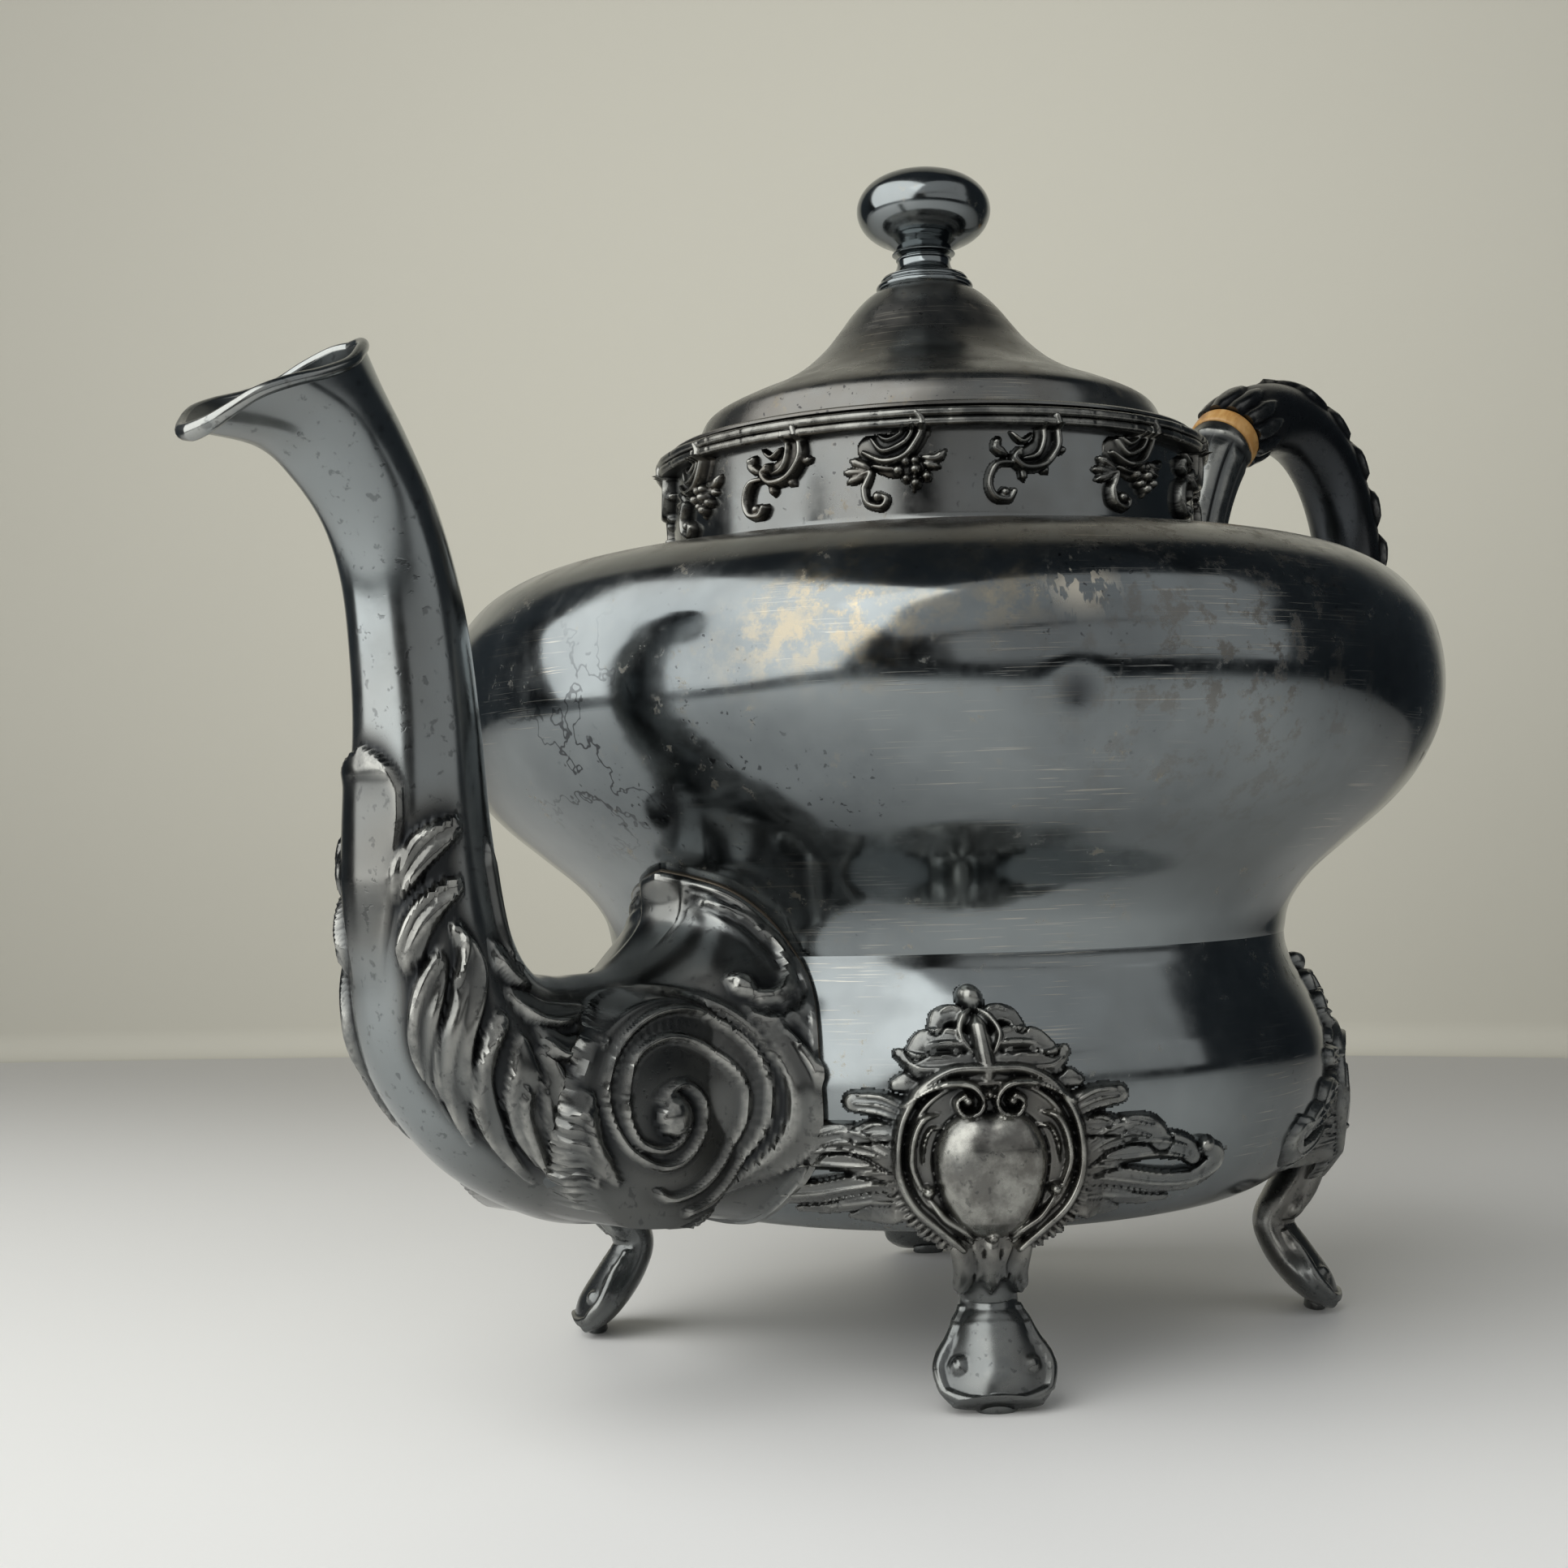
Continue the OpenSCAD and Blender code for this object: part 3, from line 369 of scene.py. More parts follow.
def oxidisedSilver(name, middle, deep, rubbed, rough=0.3, brownish=0.35):
    # cast ornament: dark in the hollows and bright where hands and cloths have rubbed it
    f = Finish(name)
    fine = f.noise(160, 5, 0.65)
    cloud = f.noise(30, 4)
    # painted shade: the spout is darker round its volute and where it is carved
    colour = f.mix(f.attribute("ornament_shade"), middle, silverLook["ornament_shade"])
    colour = f.mix(f.math("MULTIPLY", f.band(cloud, 0.45, 0.7), brownish), colour, silverLook["brown"])
    colour = f.mix(f.math("MULTIPLY", f.attribute("worn"), f.band(fine, 0.35, 0.62)), colour, rubbed)
    colour = f.mix(f.attribute("recess"), colour, deep)
    speckle = f.band(f.noise(700, 3), 0.6, 0.68)
    colour = f.mix(f.math("MULTIPLY", speckle, 0.4), colour, deep)
    dull = f.math("ADD", f.math("MULTIPLY", f.attribute("recess"), 0.25), f.math("MULTIPLY", fine, 0.2))
    return f.end(Base_Color=colour, Metallic=1.0, Roughness=f.math("ADD", dull, rough - 0.1),
                 Normal=f.bump(f.math("ADD", fine, f.math("MULTIPLY", speckle, -0.5)), 0.3, 0.04))


def agedBone(name):
    f = Finish(name)
    grain = f.noise(1, 4, 0.6, f.stretched((250, 900, 250), (0.3, 0.7, 0)))
    blotch = f.noise(160, 3)
    colour = f.mix(f.band(grain, 0.3, 0.7), (0.40, 0.20, 0.055, 1), (0.52, 0.31, 0.11, 1))
    colour = f.mix(f.math("MULTIPLY", f.band(blotch, 0.52, 0.68), 0.7), colour, (0.20, 0.085, 0.02, 1))
    return f.end(Base_Color=colour, Roughness=0.36, Normal=f.bump(grain, 0.25, 0.05))


bodySilver = tarnishedSilver("body_silver", 116, 134, 0.95, 0.10, 1.0, True)
lowerSilver = tarnishedSilver("lower_silver", 10, 30, 0.05, 0.13, 0.8)
collarSilver = tarnishedSilver("collar_silver", 90, 110, 0.35, 0.09, 0.7)
lidSilver = tarnishedSilver("lid_silver", 120, 150, 0.55, 0.15, 1.0)
knobSilver = tarnishedSilver("knob_silver", 170, 230, 0.35, 0.10, 1.2)
spoutSilver = oxidisedSilver("spout_silver", (0.245, 0.266, 0.272, 1), (0.030, 0.032, 0.034, 1),
                             (0.36, 0.36, 0.34, 1), 0.20, 0.2)
castSilver = oxidisedSilver("cast_silver", (0.150, 0.158, 0.158, 1), (0.024, 0.026, 0.028, 1),
                            (0.40, 0.40, 0.37, 1), 0.27, 0.4)
borderSilver = oxidisedSilver("border_silver", (0.105, 0.108, 0.105, 1), (0.020, 0.021, 0.022, 1),
                              (0.30, 0.30, 0.28, 1), 0.27, 0.4)
gripSilver = oxidisedSilver("grip_silver", (0.055, 0.060, 0.066, 1), (0.012, 0.013, 0.015, 1),
                            (0.19, 0.19, 0.18, 1), 0.26, 0.3)
bone = agedBone("aged_bone")
print("finishes ready")


pot = {
    "bulgeRadius": 84.9, "bulgeHeight": 108.0, "waistRadius": 57.5, "waistHeight": 66.0,
    "bowlRadius": 63.7, "bowlHeight": 46.5, "baseRadius": 44.0, "baseHeight": 23.0,
    "wall": 1.0, "collarRadius": 45.0, "shoulderHeight": 131.6, "collarHeight": 149.4,
    "dentAngle": 233.3, "dentHeight": 102.8, "dentRadius": 4.2, "dentDepth": 0.55,
    "ripple": 0.10,  # how far the old skin wanders from true
}


def between(start, end, shares):
    (r0, z0), (r1, z1) = start, end
    return [(r0 + f * (r1 - r0), z0 + g * (z1 - z0)) for f, g in shares]


waistPoint = (pot["waistRadius"], pot["waistHeight"])
bulgePoint = (pot["bulgeRadius"], pot["bulgeHeight"])
bowlPoint = (pot["bowlRadius"], pot["bowlHeight"])
basePoint = (pot["baseRadius"], pot["baseHeight"])
rimPoint = (pot["collarRadius"], pot["shoulderHeight"])
upperKnots = between(waistPoint, bulgePoint,
                     [(0, 0), (0.045, 0.12), (0.186, 0.24), (0.43, 0.374), (0.646, 0.495),
                                              (0.807, 0.617), (0.92, 0.75), (0.98, 0.87)])
upperKnots += between(bulgePoint, rimPoint, [(0, 0), (0.011, 0.21), (0.05, 0.42), (0.15, 0.64), (0.266, 0.78),
                                             (0.4, 0.875), (0.58, 0.94), (0.8, 0.985), (1, 1)])
lowerKnots = between(basePoint, bowlPoint,
                     [(0, 0), (0.355, 0.055), (0.635, 0.183), (0.843, 0.383), (0.965, 0.66)])
lowerKnots += between(bowlPoint, waistPoint,
                      [(0, 0), (0.12, 0.25), (0.42, 0.49), (0.77, 0.71), (0.96, 0.88), (1, 1)])
upperLine = smoothLine(upperKnots, 8)
lowerLine = smoothLine(lowerKnots, 8)
skinLine = np.vstack([lowerLine, upperLine[1:]])
skinOut = outwards(skinLine)


def skinRadius(z):
    return np.interp(z, skinLine[:, 1], skinLine[:, 0])


def skinTilt(z):
    return np.interp(z, skinLine[:, 1], skinOut[:, 0]), np.interp(z, skinLine[:, 1], skinOut[:, 1])


def onBody(angle, z, lift=0.0):
    # point of the pot's skin at an angle in radians, raised by lift
    out, up = skinTilt(z)
    radius = skinRadius(z) + lift * out
    return np.stack([radius * np.cos(angle), radius * np.sin(angle), z + lift * up], -1)


def shell(line, wall):
    inner = line - outwards(line) * wall
    return np.vstack([line, inner[::-2]])


def handRaised(points):
    # slow waves of a hand-spun skin, and the dent in its side
    angle = np.arctan2(points[:, 1], points[:, 0])
    z = points[:, 2]
    wave = np.sin(3 * angle + z / 9) + 0.7 * np.sin(7 * angle - z / 6 + 1)
    wave = wave + 0.5 * np.sin(11 * angle + z / 4 + 2)
    push = pot["ripple"] * wave * np.interp(z, [60, 75, 118, 130], [0.3, 1, 1, 0])
    side = math.radians(pot["dentAngle"])
    along = (np.angle(np.exp(1j * (angle - side)))) * pot["bulgeRadius"]
    dent = np.exp(-((along**2 + (z - pot["dentHeight"])**2) / pot["dentRadius"]**2) * 2)
    push = push - pot["dentDepth"] * dent * (np.hypot(points[:, 0], points[:, 1]) > 60)
    out = np.column_stack([np.cos(angle), np.sin(angle)])
    points = points.copy()
    points[:, :2] += out * push[:, None]
    return points


turned("pot_upper_body", shell(upperLine, pot["wall"]), "pot", ["upper_body"], bodySilver, 400,
       bend=handRaised)
turned("pot_lower_body", shell(lowerLine, pot["wall"]), "pot", ["lower_body"], lowerSilver, 400)

collarShape = {"solder": 0.7, "below": 2.4}
r, top, low = pot["collarRadius"], pot["collarHeight"], pot["shoulderHeight"]
collarLine = [(r, low - collarShape["below"]), (r, low - 0.6), (r + collarShape["solder"], low - 0.2),
              (r + collarShape["solder"], low + 0.25), (r + 0.25, low + 0.8), (r, low + 1.3)]
collarLine += [(r, z) for z in np.linspace(low + 2, top, 8)]
collarLine += [(r - pot["wall"], top), (r - pot["wall"], low - collarShape["below"])]
turned("pot_collar", collarLine, "pot", ["collar"], collarSilver, 360)
print("body ready")


lid = {
    "radius": 40.6, "rim": 45.6, "bottom": 149.9, "wall": 0.9, "top": 179.0,
    "footRadius": 8.1, "footHeight": 5.2, "neckRadius": 4.6, "studRadius": 1.55,
    "knobRadius": 11.7, "knobTop": 200.0, "knobHeight": 13.6, "knobTilt": 1.5,
}
lidStart = (lid["radius"], lid["bottom"] + lid["wall"])
lidKnots = between(lidStart, (lid["footRadius"], lid["top"]), [
    (0, 0), (0.022, 0.12), (0.075, 0.21), (0.225, 0.3), (0.4, 0.385), (0.56, 0.49), (0.69, 0.62),
    (0.77, 0.73), (0.85, 0.85), (0.93, 0.945), (1, 1)])
lidLine = smoothLine(lidKnots, 8)
lidInner = (lidLine - outwards(lidLine) * lid["wall"])[::-2]
lidOutline = np.vstack([
    [(lid["radius"] - lid["wall"], lid["bottom"]), (lid["rim"] - 0.3, lid["bottom"]),
     (lid["rim"], lid["bottom"] + 0.25), (lid["rim"], lidStart[1] - 0.25), (lid["rim"] - 0.3, lidStart[1]),
     (lid["radius"] + 0.8, lidStart[1])],
    lidLine, [(lid["studRadius"], lid["top"]), (lid["studRadius"], lid["top"] - lid["wall"])],
    lidInner[lidInner[:, 1] > lid["bottom"] + 0.3]])
turned("lid_cover", lidOutline, "lid", ["lid_dome"], lidSilver, 360)

top = lid["top"] + lid["footHeight"]
cove = lid["footRadius"] - lid["neckRadius"] - 0.6
arcs = np.radians(np.arange(0, 91, 7.5))
footLine = smoothLine([(lid["footRadius"], lid["top"] + 0.02), (lid["footRadius"] + 0.35, lid["top"] + 0.5),
                       (lid["footRadius"] + 0.1, lid["top"] + 1.1),
                       (lid["footRadius"] - 0.7, lid["top"] + 1.35),
                       (lid["footRadius"] - 0.5, lid["top"] + 1.9),
                       (lid["footRadius"] - 0.9, lid["top"] + 2.35)], 6)
coveLine = np.column_stack([lid["neckRadius"] + cove * 0.9 * (1 - np.sin(arcs)),
                            lid["top"] + 2.4 + (lid["footHeight"] - 2.4) * (1 - np.cos(arcs))])
turned("finial_stepped_foot",
       np.vstack([footLine, coveLine, [(lid["studRadius"], top), (lid["studRadius"], lid["top"] + 0.02)]]),
       "lid", ["finial_foot"], knobSilver, 160)

ball = np.radians(np.arange(-62, 90, 3))
middle = lid["knobTop"] - lid["knobHeight"] / 2
neckLine = smoothLine([(lid["neckRadius"] - 0.1, top), (lid["neckRadius"] + 0.25, top + 0.35),
                       (lid["neckRadius"] - 0.6, top + 0.75), (lid["neckRadius"] - 0.35, top + 1.0),
                       (lid["neckRadius"] + 0.9, top + 1.25), (lid["neckRadius"] + 0.5, top + 1.7),
                       (lid["neckRadius"] + 0.2, top + 1.9)], 5)
ballLine = np.column_stack([lid["knobRadius"] * np.cos(ball)**0.8,
                            middle + lid["knobHeight"] / 2 * np.sin(ball)])
stud = [(0, lid["top"] - 5), (1.5, lid["top"] - 5), (1.5, top)]
knobOutline = np.vstack([stud, neckLine, ballLine, [(0, lid["knobTop"])]])


def tilted(points):
    # the knob leans a little on its stud
    turn = Matrix.Rotation(math.radians(lid["knobTilt"]), 3, Vector((0.7, 0.7, 0)))
    lean = np.clip((points[:, 2] - top) / 3, 0, 1)[:, None]
    middlePoint = np.array([0, 0, top])
    moved = (points - middlePoint) @ np.array(turn).T + middlePoint
    moved[:, 2] = np.minimum(moved[:, 2], lid["knobTop"])
    return points * (1 - lean) + moved * lean


turned("finial_ball", knobOutline, "lid", ["finial_knob"], knobSilver, 200, closed=False,
       bend=tilted)
print("lid ready")


spout = {
    "sides": 280, "rowGap": 0.62, "wall": 1.0, "beadRadius": 0.85,
    # reach, height, heading, half-depth and half-width of the rings along the neck
    "stations": [(66.5, 49.6, -2, 22.4, 19.5), (77, 46.8, 2, 19, 15.6), (88.5, 47.6, 12, 17.6, 14.4),
                 (99, 52.2, 34, 15.6, 13.2), (107, 60, 60, 13.4, 12.2), (110.2, 71, 80, 11.2, 11),
                 (111.2, 86, 90, 9.7, 9.7), (111.4, 101, 90, 8.7, 8.8), (112.4, 113, 84, 8.2, 8.3)],
    # back and front of the rings of the pouring mouth, reach then height, and half-width
    "mouth": [(106.5, 123, 121.6, 120.9, 8.1), (109.7, 132, 124.2, 127.9, 8.0),
              (114, 140.2, 128.6, 133.4, 8.4), (118, 146.8, 134, 137.1, 9.0)],
    # edge of the flange on the pot: degrees from the spout's side, height, by turns of 0 to 180 from its top
    "flangeTurns": [0, 25, 50, 72, 95, 120, 145, 165, 180],
    "flangeAngle": [0, 9.2, 15.8, 20.7, 22.7, 21.4, 14, 6, 0],
    "flangeHeight": [79.3, 76.3, 68, 58.7, 46.5, 36.5, 29.5, 26.2, 25.6],
    # rim of the mouth: reach, sideways and height by turns of 0 to 180 from its back
    "rimTurns": [0, 25, 50, 72, 92, 112, 132, 150, 166, 180],
    "rim": [(120.7, 0, 152), (121.3, 3.4, 151.9), (123.6, 6.6, 150.2), (127, 8.7, 147.6), (131.5, 9.3, 145.6),
            (136.3, 9.1, 144), (140.3, 7.8, 142.2), (143, 5.5, 140), (144.6, 2.9, 138.4), (145.1, 0, 137.9)],
}
turn = np.linspace(0, -2 * math.pi, spout["sides"], endpoint=False)  # down the far side first
fold = np.abs(np.degrees(np.angle(np.exp(1j * turn))))
away = np.where(np.sin(turn) > 0, -1.0, 1.0)


def ringOf(reach, height, heading, deep, wide):
    h = math.radians(heading)
    return np.column_stack([-(reach - deep * np.cos(turn) * math.sin(h)), -wide * np.sin(turn),
                            height + deep * np.cos(turn) * math.cos(h)])


def ringAcross(back, backHeight, front, frontHeight, wide):
    c = np.cos(turn)
    return np.column_stack([-((back + front) / 2 + c * (back - front) / 2), -wide * np.sin(turn),
                            (backHeight + frontHeight) / 2 + c * (backHeight - frontHeight) / 2])


def periodic(turns, values):
    # smooth curve through values given for turns of 0 to 180, mirrored about both ends
    t = np.array(turns, float)
    v = np.array(values, float)
    t = np.concatenate([-t[:0:-1], t, 360 - t[-2::-1]])
    v = np.concatenate([v[:0:-1], v, v[-2::-1]])
    slope = np.gradient(v, t)
    k = np.clip(np.searchsorted(t, fold, side="right") - 1, 0, len(t) - 2)
    w = t[k + 1] - t[k]
    u = (fold - t[k]) / w
    return (v[k] * (1 + 2 * u) * (1 - u)**2 + slope[k] * w * u * (1 - u)**2 +
            v[k + 1] * u * u * (3 - 2 * u) + slope[k + 1] * w * u * u * (u - 1))


flangeAngle = math.pi + away * -np.radians(periodic(spout["flangeTurns"], spout["flangeAngle"]))
flangeHeight = periodic(spout["flangeTurns"], spout["flangeHeight"])
flangeEdge = onBody(flangeAngle, flangeHeight, -0.35)
flangeLip = onBody(flangeAngle, flangeHeight, 1.0)
rim = np.array(spout["rim"])
sideways = np.where(fold == 0, 0, periodic(spout["rimTurns"], np.maximum(rim[:, 1], 0)))
mouthRim = np.column_stack([-periodic(spout["rimTurns"], rim[:, 0]), sideways * away,
                            periodic(spout["rimTurns"], rim[:, 2])])
rings = [flangeLip] + [ringOf(*s) for s in spout["stations"]]
rings += [ringAcross(*m) for m in spout["mouth"]] + [mouthRim]
keys = np.stack(rings)
keys = np.concatenate([keys[:1], keys, keys[-1:]])
spoutRows = [flangeEdge]
for i in range(len(keys) - 3):
    count = max(3, int(np.linalg.norm(keys[i + 2] - keys[i + 1], axis=1).mean() / spout["rowGap"]))
    for t in np.arange(count) / count:
        spoutRows.append(curveThrough(*keys[i:i + 4], t))
spoutRows.append(mouthRim)
spoutSkin = np.stack(spoutRows)
spoutFlat = spoutSkin.reshape(-1, 3)

# drum of the big volute on each side
volute = {"reach": 81.1, "height": 44.8, "side": 15.6, "radius": 18.2, "crown": 1.4}
u = volute["reach"] + spoutFlat[:, 0]
v = spoutFlat[:, 2] - volute["height"]
across = np.hypot(u, v)
target = volute["side"] + volute["crown"] * (1 - (across / volute["radius"])**2)
sideOf = np.where(spoutFlat[:, 1] < 0, -1.0, 1.0)
width = np.abs(spoutFlat[:, 1])
inside = (across < volute["radius"]) & (width > 4)
drum = np.clip((volute["radius"] - across) / 1.6, 0, 1)
drum = drum * drum * (3 - 2 * drum)
spoutFlat = spoutFlat.copy()
spoutFlat[:, 1] = np.where(inside, sideOf * (width + np.maximum(target - width, 0) * drum), spoutFlat[:, 1])
spoutSkin = spoutFlat.reshape(spoutSkin.shape)
spoutOut = gridNormals(spoutSkin)

# leaves of one side: reach, sideways and height of each line's points; the lowest leaf comes first
leafPlates = [
    ([(101.1, 12.9, 54.9), (99.8, 13.1, 50.7), (99, 12.8, 46.1), (96.9, 11.8, 41.3), (93.2, 10.3, 36.5)],
     3.1, 0.9, 0.5, 0.2),
    ([(95.4, 13.8, 49), (95.6, 13.2, 44.8), (94, 12.2, 40.5), (89, 10.4, 35.5)], 1.9, 0.9, 0.5, 0.2),
    ([(104.8, 12.5, 57), (104.4, 12.6, 52.9), (104.6, 11.9, 48.9), (102.4, 11.2, 44.1), (98.1, 9.9, 38.5)],
     2.6, 1.0, 0.5, 0.2),
    ([(115.8, 9.5, 68.6), (116.9, 8.7, 64.4), (117.2, 7.9, 60), (116.3, 7.5, 55.1), (114.4, 7.4, 50)],
     2.3, 0.9, 0.6, 0.1),
    ([(108, 12.2, 60), (110, 11.6, 56.1), (110.4, 10.8, 52.5), (109, 10, 48.4), (106, 9.1, 43.5),
      (100, 8, 37.6)],
     1.9, 1.1, 0.8, 0.2),
    ([(113.5, 10.3, 73.2), (111.8, 11.1, 68.6), (112.4, 11.2, 63.4), (113.7, 10.4, 58.6), (113.6, 9.4, 54.1),
      (112, 8.2, 48.5), (109, 7, 43)], 2.5, 1.2, 0.4, 0.1),
    ([(118.8, 6.6, 66.8), (118.6, 7, 70), (117.6, 8, 73.6), (116, 9.1, 76.3), (113.4, 10, 78.6)],
     2.1, 1.2, 0.05, 0.7),
    ([(119.6, 5.4, 76.4), (119, 6.2, 79.9), (117.8, 7.3, 82.4), (116, 8.6, 84.6), (113.2, 9.5, 86.6)],
     2.4, 1.3, 0.05, 0.7),
    ([(107.9, 10.6, 70.4), (105.4, 10.8, 67.3), (101.8, 10.3, 64.6)], 1.7, 1.0, 0.4, 0.6),
    ([(105.6, 11.6, 63.9), (101.5, 11.4, 61.2), (97, 10.9, 60.1), (91.8, 9.8, 60.6)], 2.0, 1.1, 0.4, 0.4),
    ([(101.4, 12.5, 58.4), (97.4, 12.7, 55.7), (92.4, 12.3, 56.3)], 1.9, 1.1, 0.4, 0.5),
]
# rounded folds on the leaves; each slopes gently to the left of its line and steeply to its right
leafFolds = [
    ([(119.4, 5.9, 78.4), (118.4, 6.9, 82.2), (116.6, 8.2, 85.4), (113.6, 9.2, 87.2)], 1.0, 0.8, 0.4, 0.3, 1),
    ([(118.8, 6.8, 78), (116.6, 8.4, 81.6), (114.4, 9.4, 84), (113, 9.7, 85.4)], 0.9, 0.7, 0.4, 0.3, 1),
    ([(119.3, 6.3, 70.6), (118.2, 7.5, 75.2), (116, 8.9, 78), (113.2, 9.9, 79.6)], 1.0, 0.9, 0.4, 0.4, 1),
    ([(118.9, 6.9, 68.2), (117.4, 8.2, 72.8), (115.2, 9.5, 75.8), (113.2, 10.1, 77.4)],
     0.9, 0.7, 0.4, 0.3, 1),
    ([(113.3, 10.4, 73), (111.3, 11, 70.5), (110.3, 11.3, 67), (110.9, 11.5, 62.8), (112, 11, 58.6),
      (112, 10.4, 54), (110.6, 9.8, 49.8), (108.4, 9, 45.6)], 1.0, 0.7, 0.6, 0.2, -1),
    ([(112.9, 10.6, 71.9), (113, 10.7, 69), (114.7, 10.2, 64.8)], 0.8, 1.0, 0.7, 0.2),
    ([(115.5, 9.6, 69.6), (117, 8.6, 66.4), (118, 7.6, 62), (117.6, 7, 57.4), (116.4, 6.6, 53)],
     0.9, 0.9, 0.8, 0.1, -1),
    ([(114.8, 9.8, 66.4), (115.8, 9.2, 61.6), (115.8, 8.6, 56.6), (114.8, 7.8, 51.4), (112.8, 6.9, 46.4)],
     0.8, 0.55, 0.3, 0.1, -1),
    ([(112.6, 11, 65), (113.6, 10.6, 60.6), (114.2, 9.6, 55.6), (113.4, 8.6, 50.4), (111.4, 7.4, 45)],
     0.8, 0.5, 0.3, 0.1, -1),
    ([(108.8, 12.2, 58.8), (110.9, 11.3, 55.6), (111.2, 10.4, 51.8), (109.8, 9.5, 47.4), (106.6, 8.7, 42.8)],
     0.8, 0.7, 0.8, 0.2, 1),
    ([(104.5, 12.2, 50.2), (104.5, 11.7, 48), (103.3, 11.2, 45.1), (100.7, 10.4, 41.2), (97.4, 9.4, 37.5)],
     0.8, 0.8, 0.8, 0.2, 1),
    ([(106.2, 12.3, 57.4), (106.6, 12, 53.2), (106.4, 11.2, 49), (103.8, 10.4, 44), (99.6, 9.2, 39.2)],
     0.7, 0.5, 0.5, 0.1, 1),
    ([(101.5, 12.8, 56.3), (99.1, 13.2, 53.3), (97.9, 13.4, 49.6), (97.4, 13.1, 45.9), (96.1, 12.3, 42.1),
      (93.5, 11.2, 38)], 0.8, 0.6, 0.6, 0.2, -1),
    ([(102, 12.9, 51.6), (101, 12.6, 46.8), (98.6, 11.6, 42), (95, 10.4, 37.4)], 0.7, 0.5, 0.5, 0.1, 1),
    ([(96.4, 13.5, 47), (96, 13, 43.6), (93.4, 11.9, 39.6)], 0.8, 0.6, 0.6, 0.2, 1),
    ([(107.9, 10.4, 69.4), (105.6, 10.7, 66.4), (102.4, 10.4, 64)], 0.7, 0.6, 0.3, 0.6, -1),
    ([(105.2, 11.9, 62.8), (101.4, 11.9, 60.2), (97, 11.5, 59.2), (92.6, 10.8, 59.6)],
     0.7, 0.6, 0.4, 0.4, -1),
    ([(101, 12.8, 57.2), (97.4, 13, 54.8), (93, 12.7, 55.2)], 0.7, 0.6, 0.4, 0.4, -1),
    ([(106.6, 8.7, 84.2), (105.8, 8.7, 80.9), (104.9, 9.2, 74), (103.1, 10.4, 67)], 1.0, 0.9, 0.3, 0.4, -1),
]
# the volute's lines, measured from its middle: towards the pot, then upwards
volute.update({
    "outerLine": [(-1.5, 3.2), (1.5, 4.4), (4.2, 3.6), (6.2, 0.8), (5.4, -3.2), (2.6, -6), (-1, -6.9),
                  (-4.6, -6), (-8.6, -3.4), (-11.2, 0.6), (-11.9, 4.6), (-10.6, 8.8), (-7, 12.6),
                  (-1.5, 14.9), (5, 14.8), (10.8, 12.2), (14.8, 7.4), (16.4, 1.5), (15.8, -4.5), (12.8, -9.4),
                  (8, -12.8), (3, -14)],
    "innerLine": [(-2.3, 2.5), (0.5, 2.9), (2.8, 1), (2.6, -2), (0, -4.1), (-3.4, -4.3), (-6.8, -2.5),
                  (-8.5, 1.5), (-8, 6.5), (-5.4, 9.9), (0, 11.3), (6.2, 9.7), (11.2, 6), (13.2, 1.5),
                  (12.7, -3.5), (10, -7.6), (5.6, -10.6), (0, -11.6), (-2.8, -10.5)],
    "ridge": 0.75, "ridgeHeight": 0.9, "ribGap": 1.05, "ribHeight": 0.22, "dish": 1.3,
})
voluteLeaves = [
    ([(14.5, 14.6), (18.6, 9), (20.6, 2), (19.9, -5), (16.6, -10.4), (11, -14)], 2.3, 0.8, 0.2, 0.2),
    ([(-1.4, -9.5), (-3.4, -10.9), (-2.4, -13), (1, -14.4), (6, -15.4), (12, -14.4)], 1.5, 1.2, 1, 0.3),
]
voluteFolds = [
    ([(2.3, 17.6), (8.5, 16), (14.2, 11), (17.6, 4.6), (18.4, -2.5), (16.6, -8.4), (12.4, -12.4)],
     0.8, 0.7, 0.4, 0.3, 1),
    ([(16.5, 15), (19.9, 9), (22, 1.5), (21.7, -6), (18.3, -11.5)], 0.8, 0.7, 0.4, 0.4, 1),
    ([(20, 14.5), (23, 8), (24.6, 1), (24, -6.5), (21, -12)], 0.7, 0.5, 0.4, 0.3, 1),
    ([(-1.4, -9.3), (-3.1, -10.6), (-2.6, -12), (-0.4, -12)], 0.9, 0.8, 0.8, 0.5),
    ([(-4.5, -13.6), (0, -16), (6, -17.2), (13, -16)], 0.8, 0.6, 0.4, 0.3),
    ([(-13.6, 0.5), (-14.4, 5.5), (-13, 11), (-8.8, 15.4), (-2, 17.7)], 0.8, 0.7, 0.3, 0.3, 1),
]
curlPlates = [
    ([(64.7, 60.9), (61.4, 60.6), (58.6, 62.4), (57.4, 65.8), (58.2, 69.4), (61.4, 72.6), (66, 75.2)],
     1.2, 0.8, 0.9, 0.3),
]
curlFolds = [
    ([(64.4, 60.8), (60.9, 61.1), (58.2, 64), (58.2, 67.4), (60.2, 70.6)], 0.6, 0.5, 0.9, 0.4),
    ([(66.3, 58.2), (61, 57.8), (56, 61.4), (54.6, 67.4), (57, 73)], 0.8, 0.5, 0.5, 0.4, 1),
]
spoutFlat = spoutSkin.reshape(-1, 3)
facing = spoutOut.reshape(-1, 3)
near = np.column_stack([-spoutFlat[:, 0], np.abs(spoutFlat[:, 1]), spoutFlat[:, 2]])
nearFacing = np.column_stack([-facing[:, 0], facing[:, 1] * np.where(spoutFlat[:, 1] < 0, -1, 1),
                              facing[:, 2]])
carving = carve(np.zeros(len(near)), near, leafPlates, "plate", nearFacing)
carve(carving, near, leafFolds, "fold", nearFacing)
seen = (nearFacing[:, 1] > 0.25) & (near[:, 1] > 7)
chart = np.column_stack([volute["reach"] - near[:, 0], near[:, 2] - volute["height"]])
fromMiddle = np.hypot(chart[:, 0], chart[:, 1])
